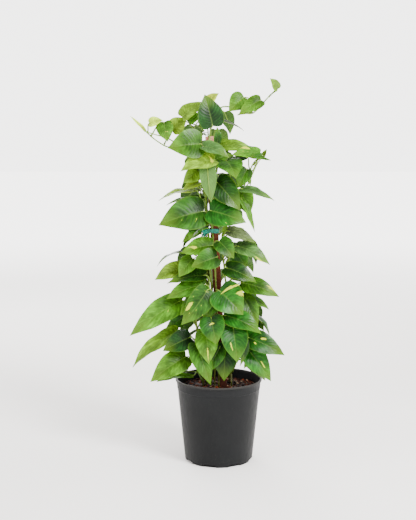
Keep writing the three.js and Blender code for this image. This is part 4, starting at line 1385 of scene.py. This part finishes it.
@dataclass
class Vine:
    """One stem with its petioles and blades, finer than the solid.

    Attributes:
        name: The stem's name.
        leaves: Its leaves, where the solid has them.
        rows: How many rows of faces a blade has from joint to tip.
        columns: How many faces a blade has from side to side.
        blade: The blade's thickness in millimetres.
        petiole_radii: The radii of the petioles of a small and a large leaf.
        petiole_steps: How many stretches a petiole has up to the joint.
        midrib_steps: How many it has below the blade.
        petiole_tones: Its tones at the root and further out.
        stem_steps: How many stretches the stem has for each one of the solid.
        swelling: How far from a node the stem is swollen.
        stem_tones: The stem's tones at its foot and its top.
        air_root_tone: The tone of the short roots at the nodes.
    """

    name: str
    leaves: list[PlacedLeaf]
    rows: int = 20
    columns: int = 14
    blade: float = 0.75
    petiole_radii: tuple[float, float] = (1.3, 2.0)
    petiole_steps: int = 10
    midrib_steps: int = 8
    petiole_tones: tuple[Colour, Colour] = (linear(0x4E6A22), linear(0x6E8C32))
    stem_steps: int = 6
    swelling: float = 5.0
    stem_tones: tuple[Colour, Colour] = (linear(0x575A22), linear(0x5F7F28))
    air_root_tone: Colour = linear(0x4A3519)

    def build(self, skins: Sequence[bpy.types.Material], stalk: bpy.types.Material,
              chance: random.Random) -> None:
        """Makes the vine's two pieces.

        Args:
            skins: The blades' upper and lower materials.
            stalk: The material of stems and petioles.
            chance: The seeded chance.
        """
        blades = bmesh.new()
        stalks = self.stem(chance)
        for placed in self.leaves:
            append(blades, self.blade_mesh(placed, chance))
            append(stalks, self.petiole(placed))
        node = f"vine_{self.name}"
        save_piece(blades, f"{self.name}_leaves", skins, node)
        save_piece(stalks, f"{self.name}_stems", [stalk], node)

    def blade_mesh(self, placed: PlacedLeaf, chance: random.Random) -> bmesh.types.BMesh:
        """Makes one blade.

        Args:
            placed: The leaf.
            chance: The seeded chance.

        Returns:
            A closed thin heart with its map and attributes.
        """
        leaf = placed.leaf
        bm = bmesh.new()
        bmesh.ops.create_grid(bm, x_segments=self.columns, y_segments=self.rows, size=0.5)
        spots = {vert: (vert.co.x * 2, vert.co.y + 0.5) for vert in bm.verts}
        uv = bm.loops.layers.uv.new("leaf")
        for face in bm.faces:
            for loop in face.loops:
                across, share = spots[loop.vert]
                loop[uv].uv = ((across + 1) / 2, share)
        ripple = chance.uniform(0, 6)
        for vert, (across, share) in spots.items():
            out = abs(across)
            aside = across * rim_aside(share)
            along = between(share ** MIDRIB_CURVE, rim_along(share), out)
            ruffle = 0.006 * leaf.length * out ** 3 * math.sin(31 * share + ripple + across)
            vert.co = (leaf.point(aside, along) + leaf.axes()[2] * ruffle) * MM
        bmesh.ops.remove_doubles(bm, verts=bm.verts, dist=1e-6)
        bm.normal_update()
        outlook = sum((face.normal * face.calc_area() for face in bm.faces), Vector())
        if outlook.dot(leaf.axes()[2]) < 0:
            bmesh.ops.reverse_faces(bm, faces=bm.faces)
        thicken(bm, self.blade * MM, 1)
        tint = chance.uniform(0.88, 1.12)
        red, green, blue, _ = linear(placed.tone.value)
        warm = chance.uniform(0.9, 1.12)
        paint(bm, "tone", (red * tint * warm, green * tint, blue * tint, 1.0))
        flecks = FLECKS.get(placed.tone, 0.2)
        gloss = 1.0 if placed.tone is DEEP else chance.uniform(0.2, 0.8)
        paint(bm, "marks", (chance.random(), flecks + chance.uniform(-0.06, 0.03), gloss, 1.0))
        for layer, patch in zip(PATCH_LAYERS, (*placed.patches, NO_PATCH, NO_PATCH)):
            paint(bm, layer, patch)
        return bm

    def petiole(self, placed: PlacedLeaf) -> bmesh.types.BMesh:
        """Makes a petiole that runs on under the blade as its midrib.

        Args:
            placed: The leaf.

        Returns:
            A closed tube.
        """
        leaf, steps = placed.leaf, self.petiole_steps
        bow = leaf.bow(placed.root, placed.lift, steps)
        thick = between(*self.petiole_radii, min(1.0, leaf.length / 110))
        radii = [thick * between(1.35, 0.9, i / steps) for i in range(steps + 1)]
        radii[0] = thick * 1.8
        drop = leaf.axes()[2] * (0.5 + thick * 0.55)
        for step in range(1, self.midrib_steps + 1):
            share = step / self.midrib_steps
            bow.append(leaf.point(0, 0.9 * share) - drop * (1 - 0.63 * share))
            radii.append(thick * between(0.8, 0.12, share))
        bm = sweep(bow, radii, 7)
        paint_between(bm, *self.petiole_tones,
                      lambda place: min(1.0, (place - placed.root).length / 60))
        return bm

    def stem(self, chance: random.Random) -> bmesh.types.BMesh:
        """Makes the stem, swollen at its nodes.

        Args:
            chance: The seeded chance.

        Returns:
            A closed tube with its tone.
        """
        stem = Stem(self.name)
        path = stem.spaced(stem.steps * self.stem_steps)
        knots = [placed.root for placed in self.leaves]
        radii = []
        for number, point in enumerate(path):
            near = min(((point - knot).length for knot in knots), default=99)
            taper = 1.0 - 0.35 * max(0.0, number / len(path) - 0.6) / 0.4
            swell = 0.86 + 0.28 * math.exp(-((near / self.swelling) ** 2))
            radii.append(STEM_RADIUS * taper * swell)
        radii[-1] *= 0.4
        bm = sweep(path, radii, 9)
        paint_between(bm, *self.stem_tones,
                      lambda place: min(1.0, max(0.0, (place.z - SOIL_TOP) / 700)) ** 0.8)
        for knot in knots[::2]:
            append(bm, self.air_root(knot, chance))
        return bm

    def air_root(self, knot: Vector, chance: random.Random) -> bmesh.types.BMesh:
        """Makes a short brown root that leaves a node towards the stake.

        Args:
            knot: The node.
            chance: The seeded chance.

        Returns:
            A closed tapered tube.
        """
        stake = Vector((stake_centre(knot.z), 0, knot.z))
        inward = (stake - knot).normalized()
        aside = inward.cross(UP) * chance.uniform(-0.5, 0.5)
        reach = chance.uniform(5, 9)
        heading = (inward * 0.4 + aside - UP * 0.9).normalized()
        path = [knot + heading * (reach * share) + UP * (1.5 * share * share)
                for share in (0, 0.4, 0.75, 1)]
        bm = sweep(path, (1.2, 1.0, 0.8, 0.35), 6)
        paint(bm, "tone", self.air_root_tone)
        return bm


# Pot, mix, stake and tie


def pot_radius(height: float) -> float:
    """Returns the radius of the pot's outer wall at a height."""
    return between(BASE_RADIUS, RIM_RADIUS - LIP_REACH, height / POT_HEIGHT)


def pot_inside(height: float) -> float:
    """Returns the radius of the pot's inner wall at a height."""
    return pot_radius(height) - POT_WALL


def arc(centre: tuple[float, float], radius: float, start: float, end: float,
        steps: int = 5) -> list[tuple[float, float]]:
    """Returns points of an arc in a profile.

    Args:
        centre: Its centre, as radius and height.
        radius: Its own radius.
        start: The first angle in degrees.
        end: The last angle in degrees.
        steps: How many stretches it has.

    Returns:
        The points in order.
    """
    turns = [math.radians(between(start, end, i / steps)) for i in range(steps + 1)]
    return [(centre[0] + radius * math.cos(t), centre[1] + radius * math.sin(t)) for t in turns]


def spin_profile(profile: Sequence[tuple[float, float]], steps: int) -> bmesh.types.BMesh:
    """Turns a profile round the upright axis.

    Args:
        profile: Its points as radius and height, in millimetres.
        steps: How many steps a full turn has.

    Returns:
        A closed turned body.
    """
    bm = bmesh.new()
    verts = [bm.verts.new((radius * MM, 0, height * MM)) for radius, height in profile]
    edges = [bm.edges.new(pair) for pair in zip(verts, verts[1:])]
    bmesh.ops.spin(bm, geom=verts + edges, axis=UP, cent=(0, 0, 0), angle=2 * math.pi,
                   steps=steps, use_merge=True)
    bmesh.ops.remove_doubles(bm, verts=bm.verts, dist=1e-6)
    bmesh.ops.recalc_face_normals(bm, faces=bm.faces)
    for face in bm.faces:
        face.smooth = True
    return bm


@dataclass
class Pot:
    """A tapered nursery pot with a rolled lip, a step below it and drain notches.

    Attributes:
        foot_radius: Where the recess under the base ends.
        foot_recess: How deep it is.
        base_rounding: The radius at the foot of the wall.
        lip_rounding: The radius of the lip's edges.
        band_drop: How far the raised band reaches down from the lip.
        band_reach: How far it stands out.
        notches: How many drain notches there are.
        notch_width: How wide each one is.
        notch_height: How high it is.
        notch_depth: How deep it goes into the wall.
        notch_rounding: The radius of its edges.
        first_notch: The angle of the first one in degrees.
        turn_steps: How many steps a full turn of the wall has.
        sharpest_smooth: The angle in degrees up to which an edge is shaded smooth.
    """

    foot_radius: float = 60.0
    foot_recess: float = 1.2
    base_rounding: float = 5.0
    lip_rounding: float = 1.6
    band_drop: float = 22.0
    band_reach: float = 1.1
    notches: int = 8
    notch_width: float = 40.0
    notch_height: float = 7.0
    notch_depth: float = 9.0
    notch_rounding: float = 2.2
    first_notch: float = 27.9
    turn_steps: int = 112
    sharpest_smooth: float = 35.0

    def profile(self) -> list[tuple[float, float]]:
        """Draws the pot's outline.

        Returns:
            Its points from the middle of the base round to the floor inside.
        """
        lip_foot = POT_HEIGHT - LIP_HEIGHT
        band = lip_foot - self.band_drop
        round_lip = self.lip_rounding
        lip, lip_top = RIM_RADIUS - round_lip, POT_HEIGHT - round_lip
        return [
            (0, self.foot_recess), (self.foot_radius - 2, self.foot_recess), (self.foot_radius, 0),
            *arc((BASE_RADIUS - self.base_rounding, self.base_rounding), self.base_rounding, -90, 0),
            (pot_radius(band), band),
            *arc((pot_radius(band + 2) - 0.4, band + 1.6), 1.5, -30, 30, 3),
            (pot_radius(lip_foot) + self.band_reach - 0.4, lip_foot - 1.2),
            (pot_radius(lip_foot) + self.band_reach, lip_foot),
            *arc((lip, lip_foot + 1.8), round_lip, -80, 0, 4),
            *arc((lip, lip_top), round_lip, 0, 90, 4),
            *arc((pot_inside(POT_HEIGHT) + 1.2, lip_top), round_lip, 90, 180, 4),
            (pot_inside(POT_HEIGHT - 6), POT_HEIGHT - 6),
            (pot_inside(FLOOR_THICKNESS), FLOOR_THICKNESS),
            (0, FLOOR_THICKNESS),
        ]

    def cutters(self) -> bpy.types.Object:
        """Makes the rounded blocks that cut the drain notches.

        Returns:
            One object that holds them all.
        """
        bm = bmesh.new()
        for number in range(self.notches):
            turn = math.radians(self.first_notch + number * 360 / self.notches)
            size = Matrix.Diagonal((2 * self.notch_depth * MM, self.notch_width * MM,
                                    2 * self.notch_height * MM, 1))
            where = Matrix.Rotation(turn, 4, "Z") @ Matrix.Translation((BASE_RADIUS * MM, 0, 0))
            block = bmesh.new()
            bmesh.ops.create_cube(block, size=1.0, matrix=where @ size)
            bmesh.ops.bevel(block, geom=block.edges[:], offset=self.notch_rounding * MM,
                            offset_type="OFFSET", affect="EDGES", segments=3, profile=0.5,
                            material=-1)
            append(bm, block)
        mesh = bpy.data.meshes.new("notch_cutters")
        bm.to_mesh(mesh)
        bm.free()
        cutters = bpy.data.objects.new("notch_cutters", mesh)
        bpy.context.scene.collection.objects.link(cutters)
        return cutters

    def build(self, material: bpy.types.Material) -> None:
        """Makes the pot.

        Args:
            material: Its plastic.
        """
        shell = spin_profile(self.profile(), self.turn_steps)
        piece = save_piece(shell, "nursery_pot", [material], "pot")
        cutters = self.cutters()
        cut = piece.modifiers.new("notches", "BOOLEAN")
        cut.operation = "DIFFERENCE"
        cut.solver = "EXACT"
        cut.object = cutters
        graph = bpy.context.evaluated_depsgraph_get()
        mesh = bpy.data.meshes.new_from_object(piece.evaluated_get(graph))
        piece.modifiers.remove(cut)
        piece.data = mesh
        mesh.set_sharp_from_angle(angle=math.radians(self.sharpest_smooth))
        bpy.data.objects.remove(cutters)


@dataclass
class PottingMix:
    """A loose bark mix: an uneven bed with chips strewn over it.

    Attributes:
        chips: How many chips there are.
        crown_radius: How far from the middle the bed's bulge ends.
        small_share: How many of them are small.
        pale_share: How many of them are pale.
        tones: The colours of the others.
        pale: The colour of the pale ones.
        bed: The colour of the mix below them.
        bottom: The height of the bed's lower side.
        rings: How many rings of faces the bed has.
    """

    chips: int = 1150
    crown_radius: float = 118.0
    small_share: float = 0.55
    pale_share: float = 0.035
    tones: tuple[int, ...] = (0x1A0A05, 0x240E06, 0x2E1208, 0x3B180A, 0x4C1F0C, 0x110805,
                              0x5F2C15)
    pale: int = 0x8A725C
    bed: int = 0x22100A
    bottom: float = 176.0
    rings: int = 26

    def height(self, x: float, y: float) -> float:
        """Finds how high the bed is.

        Args:
            x: The place to the right of the middle.
            y: The place behind it.

        Returns:
            The height in millimetres.
        """
        share = min(1.0, math.hypot(x, y) / self.crown_radius)
        crown = SOIL_CROWN * (1 - share ** 2.2)
        lumps = noise.noise(Vector((x, y, 0)) * 0.045) * 3 + noise.noise(Vector((x, y, 9)) * 0.16)
        return SOIL_TOP + crown + lumps * (1 - 0.6 * share)

    def build(self, material: bpy.types.Material, chance: random.Random) -> None:
        """Makes the bed and its chips as two pieces.

        Args:
            material: The bark.
            chance: The seeded chance.
        """
        edge = pot_inside(SOIL_TOP) - 0.4
        top = [(edge * (i / self.rings), SOIL_TOP) for i in range(self.rings + 1)]
        bm = spin_profile([*top, (edge - 4.5, self.bottom), (0, self.bottom)], 80)
        for vert in bm.verts:
            if vert.co.z > (self.bottom + 1) * MM:
                vert.co.z = self.height(vert.co.x / MM, vert.co.y / MM) * MM
        paint(bm, "tone", linear(self.bed))
        save_piece(bm, "mix_bed", [material], "potting_mix")
        chips = bmesh.new()
        for _ in range(self.chips):
            append(chips, self.chip(edge, chance))
        save_piece(chips, "bark_chips", [material], "potting_mix")

    def chip(self, edge: float, chance: random.Random) -> bmesh.types.BMesh:
        """Makes one chip of bark where it lies.

        Args:
            edge: The bed's radius.
            chance: The seeded chance.

        Returns:
            A closed flattened lump.
        """
        small = chance.random() < self.small_share
        long = chance.uniform(3, 6.5) if small else chance.uniform(7, 15)
        wide = long * chance.uniform(0.4, 0.8)
        flat = long * chance.uniform(0.25, 0.5)
        away = (edge - long / 2) * math.sqrt(chance.random())
        turn = chance.uniform(0, 2 * math.pi)
        x, y = away * math.cos(turn), away * math.sin(turn)
        tilt = Quaternion((1, 0, 0), chance.gauss(0, 0.35))
        lean = Quaternion((0, 1, 0), chance.gauss(0, 0.35))
        pose = Quaternion(UP, chance.uniform(0, 6.3)) @ tilt @ lean
        where = Vector((x, y, self.height(x, y) + flat * 0.15))
        size = Vector((long, wide, flat)) * 0.5 * MM
        bm = bmesh.new()
        bmesh.ops.create_icosphere(bm, subdivisions=1, radius=1.0)
        for vert in bm.verts:
            vert.co *= chance.uniform(0.75, 1.2)
        bmesh.ops.transform(bm, matrix=Matrix.LocRotScale(where * MM, pose, size), verts=bm.verts)
        code = self.pale if chance.random() < self.pale_share else chance.choice(self.tones)
        shade = chance.uniform(0.75, 1.25)
        paint(bm, "tone", [part * shade for part in linear(code)[:3]] + [1.0])
        return bm


@dataclass
class Stake:
    """A sawn stake that leans a little, rough on every face.

    Attributes:
        chamfer: How much its upright edges are worn.
        roughness: How far its faces stand out at most.
        slices: How many stretches it has from foot to top.
    """

    chamfer: float = 1.5
    roughness: float = 0.45
    slices: int = 91

    def build(self, material: bpy.types.Material) -> None:
        """Makes the stake.

        Args:
            material: Its wood.
        """
        length = STAKE_TOP - STAKE_FOOT
        bm = bmesh.new()
        size = Matrix.Diagonal((STAKE_WIDTH * MM, STAKE_THICKNESS * MM, length * MM, 1))
        lift = Matrix.Translation((0, 0, length / 2 * MM))
        bmesh.ops.create_cube(bm, size=1.0, matrix=lift @ size)
        upright = [edge for edge in bm.edges
                   if abs(edge.verts[0].co.z - edge.verts[1].co.z) > 0.1]
        bmesh.ops.bevel(bm, geom=upright, offset=self.chamfer * MM, offset_type="OFFSET",
                        affect="EDGES", segments=2, profile=0.5, material=-1)
        for number in range(1, self.slices):
            plane = Vector((0, 0, number / self.slices * length * MM))
            bmesh.ops.bisect_plane(bm, geom=bm.verts[:] + bm.edges[:] + bm.faces[:],
                                   plane_co=plane, plane_no=UP)
        for vert in bm.verts:
            out = Vector((vert.co.x, vert.co.y, 0)).normalized()
            rough = noise.noise(Vector((vert.co.x * 90, vert.co.y * 90, vert.co.z * 30)))
            vert.co += out * (rough * self.roughness * MM)
        lean = Matrix.Rotation(-math.atan(STAKE_LEAN), 4, "Y")
        foot = Matrix.Translation(Vector((STAKE_FOOT_X, 0, STAKE_FOOT)) * MM)
        bmesh.ops.transform(bm, matrix=foot @ lean, verts=bm.verts)
        bmesh.ops.recalc_face_normals(bm, faces=bm.faces)
        save_piece(bm, "wooden_stake", [material], "stake")


@dataclass
class Tie:
    """A stretched tape round the stake and stems, with a knot and two tails.

    Attributes:
        half_width: Half the loop's inner width.
        half_depth: Half its inner depth.
        squareness: How square the loop is, from 2 for an ellipse upwards.
        thickness: How thick the tape is.
    """

    half_width: float = 22.2
    half_depth: float = 20.0
    squareness: float = 5.0
    thickness: float = 0.9

    def path_point(self, share: float) -> Vector:
        """Finds a point of the tape's rounded rectangle.

        Args:
            share: The way round it, from 0 to 1.

        Returns:
            The point about the loop's own middle.
        """
        turn = 2 * math.pi * share
        x, y = math.cos(turn), math.sin(turn)
        scale = (abs(x) ** self.squareness + abs(y) ** self.squareness) ** (-1 / self.squareness)
        return Vector((x * scale * (self.half_width + 0.5), y * scale * (self.half_depth + 0.5), 0))

    def build(self, material: bpy.types.Material) -> None:
        """Makes the tape, its knot and its tails as one piece.

        Args:
            material: The tape's plastic.
        """
        middle = Vector((stake_centre(TIE_BOTTOM + TIE_HEIGHT / 2) + TIE_OFFSET, 0, TIE_BOTTOM))
        bm = bmesh.new()
        bmesh.ops.create_grid(bm, x_segments=120, y_segments=6, size=0.5)
        for vert in bm.verts:
            share, rise = vert.co.x + 0.5, vert.co.y + 0.5
            turn = 2 * math.pi * share
            ripple = noise.noise(Vector((math.cos(turn) * 4, math.sin(turn) * 4, rise * 1.5)))
            pinch = 1 - 0.18 * math.sin(turn * 3) ** 2
            height = TIE_HEIGHT * (0.5 + (rise - 0.5) * pinch) + ripple * 0.6
            out = self.path_point(share)
            out += out.normalized() * (0.5 * ripple + 0.6)
            vert.co = (middle + out + UP * height) * MM
        bmesh.ops.remove_doubles(bm, verts=bm.verts, dist=1e-5)
        thicken(bm, self.thickness * MM, 0)
        bmesh.ops.recalc_face_normals(bm, faces=bm.faces)
        left, front = middle.x - self.half_width, -self.half_depth - 1.4
        append(bm, self.knot(Vector((left + 3, front - 2, TIE_BOTTOM + 5))))
        append(bm, self.tail(Vector((left + 2, front - 2.5, TIE_BOTTOM + 4)), slant=0.5, length=24))
        append(bm, self.tail(Vector((left + 4, front - 3.5, TIE_BOTTOM + 4)), slant=0.15, length=13))
        save_piece(bm, "tape_tie", [material], "tie_tape")

    @staticmethod
    def knot(where: Vector) -> bmesh.types.BMesh:
        """Makes the wrinkled knot.

        Args:
            where: Its middle in millimetres.

        Returns:
            A closed lump.
        """
        bm = bmesh.new()
        bmesh.ops.create_icosphere(bm, subdivisions=4, radius=1.0)
        for vert in bm.verts:
            twist = math.sin(vert.co.x * 7 + vert.co.z * 5 + 2 * noise.noise(vert.co * 2))
            size = 1 + 0.09 * twist + 0.1 * noise.noise(vert.co * 3)
            vert.co = Vector((vert.co.x * 8, vert.co.y * 5, vert.co.z * 6.5)) * size
            vert.co = (vert.co + where) * MM
        for face in bm.faces:
            face.smooth = True
        return bm

    def tail(self, where: Vector, slant: float, length: float) -> bmesh.types.BMesh:
        """Makes one loose end of the tape.

        Args:
            where: Where it leaves the knot.
            slant: How far it leans outwards.
            length: How long it is.

        Returns:
            A thin twisted strip.
        """
        bm = bmesh.new()
        bmesh.ops.create_grid(bm, x_segments=4, y_segments=12, size=0.5)
        for vert in bm.verts:
            across, down = vert.co.x * 5.5, vert.co.y + 0.5
            turn = 0.9 * down
            aside = Vector((math.cos(turn), math.sin(turn) * 0.6, 0)) * across
            line = Vector((-math.sin(slant), 0, -math.cos(slant))) * (length * down)
            curl = Vector((0, -1.5 * math.sin(down * 2.6), 0))
            vert.co = (where + aside + line + curl) * MM
        bm.normal_update()
        thicken(bm, self.thickness * MM, 0)
        bmesh.ops.recalc_face_normals(bm, faces=bm.faces)
        return bm


@dataclass
class Studio:
    """A pale floor, soft light and the camera.

    Attributes:
        floor_size: The floor's side in metres.
        lens: The camera's focal length in millimetres.
        aim_height: How high the lights look, in metres.
        wall_light: The sky's strength below the first of the wall's heights.
        top_light: Its strength above the second one.
        wall_heights: Where the lit wall starts to fade and ends, as sines of the angle above
            the horizon.
    """

    floor_size: float = 60.0
    lens: float = 66.25
    aim_height: float = 0.6
    wall_light: float = 4.4
    top_light: float = 1.7
    wall_heights: tuple[float, float] = (0.19, 0.5)

    def build(self) -> None:
        """Makes the floor, the lights, the sky and the camera."""
        self.floor()
        self.light("key", (1.9, -2.2, 2.7), size=1.1, power=270)
        self.light("fill", (-2.4, -2.0, 1.4), size=1.6, power=10)
        self.light("rear", (-0.8, 2.6, 2.2), size=1.6, power=90)
        self.sky()
        data = bpy.data.cameras.new("camera")
        data.lens = self.lens
        data.sensor_width = 36.0
        camera = bpy.data.objects.new("camera", data)
        camera.location = EYE * MM
        camera.rotation_euler = (math.radians(90) - EYE_PITCH, 0, 0)
        bpy.context.scene.collection.objects.link(camera)
        bpy.context.scene.camera = camera

    def sky(self) -> None:
        """Makes a pale sky that is brighter round the horizon, like a lit studio wall."""
        world = bpy.data.worlds.new("studio_sky")
        bpy.context.scene.world = world
        world.use_nodes = True
        tree = world.node_tree
        where = tree.nodes.new("ShaderNodeTexCoord")
        split = tree.nodes.new("ShaderNodeSeparateXYZ")
        fade = tree.nodes.new("ShaderNodeMapRange")
        fade.interpolation_type = "SMOOTHSTEP"
        for number, value in enumerate((*self.wall_heights, self.wall_light, self.top_light), 1):
            fade.inputs[number].default_value = value
        background = tree.nodes["Background"]
        background.inputs[0].default_value = (1.0, 0.99, 0.975, 1)
        tree.links.new(where.outputs["Generated"], split.inputs[0])
        tree.links.new(split.outputs[2], fade.inputs[0])
        tree.links.new(fade.outputs[0], background.inputs[1])

    def floor(self) -> None:
        """Makes the floor."""
        bm = bmesh.new()
        bmesh.ops.create_grid(bm, x_segments=2, y_segments=2, size=self.floor_size / 2)
        mesh = bpy.data.meshes.new("studio_floor")
        bm.to_mesh(mesh)
        bm.free()
        mesh.materials.append(FloorFinish().material())
        floor = bpy.data.objects.new("studio_floor", mesh)
        bpy.context.scene.collection.objects.link(floor)

    def light(self, name: str, where: tuple[float, float, float], size: float,
              power: float) -> None:
        """Hangs a soft square light that looks at the plant's middle.

        Args:
            name: Its name.
            where: Its place in metres.
            size: Its side in metres.
            power: Its power in watts.
        """
        data = bpy.data.lights.new(name, "AREA")
        data.size = size
        data.energy = power
        lamp = bpy.data.objects.new(name, data)
        lamp.location = where
        aim = Vector((0, 0, self.aim_height)) - Vector(where)
        lamp.rotation_euler = aim.to_track_quat("-Z", "Y").to_euler()
        bpy.context.scene.collection.objects.link(lamp)


def main() -> None:
    """Builds the studio and every piece of the plant, in order."""
    logging.basicConfig(level=logging.INFO, format="%(message)s")
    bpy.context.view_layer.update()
    chance = random.Random(SEED)
    Studio().build()
    Pot().build(PotFinish().material())
    PottingMix().build(BarkFinish().material(), chance)
    Stake().build(StakeFinish().material())
    Tie().build(TapeFinish().material())
    foliage = Foliage()
    foliage.find()
    skins = [LeafFinish(under=False).material(), LeafFinish(under=True).material()]
    stalk = StalkFinish().material()
    for name, leaves in foliage.leaves.items():
        log.info("%s has %d leaves", name, len(leaves))
        Vine(name, leaves).build(skins, stalk, chance)


if __name__ == "__main__":
    main()
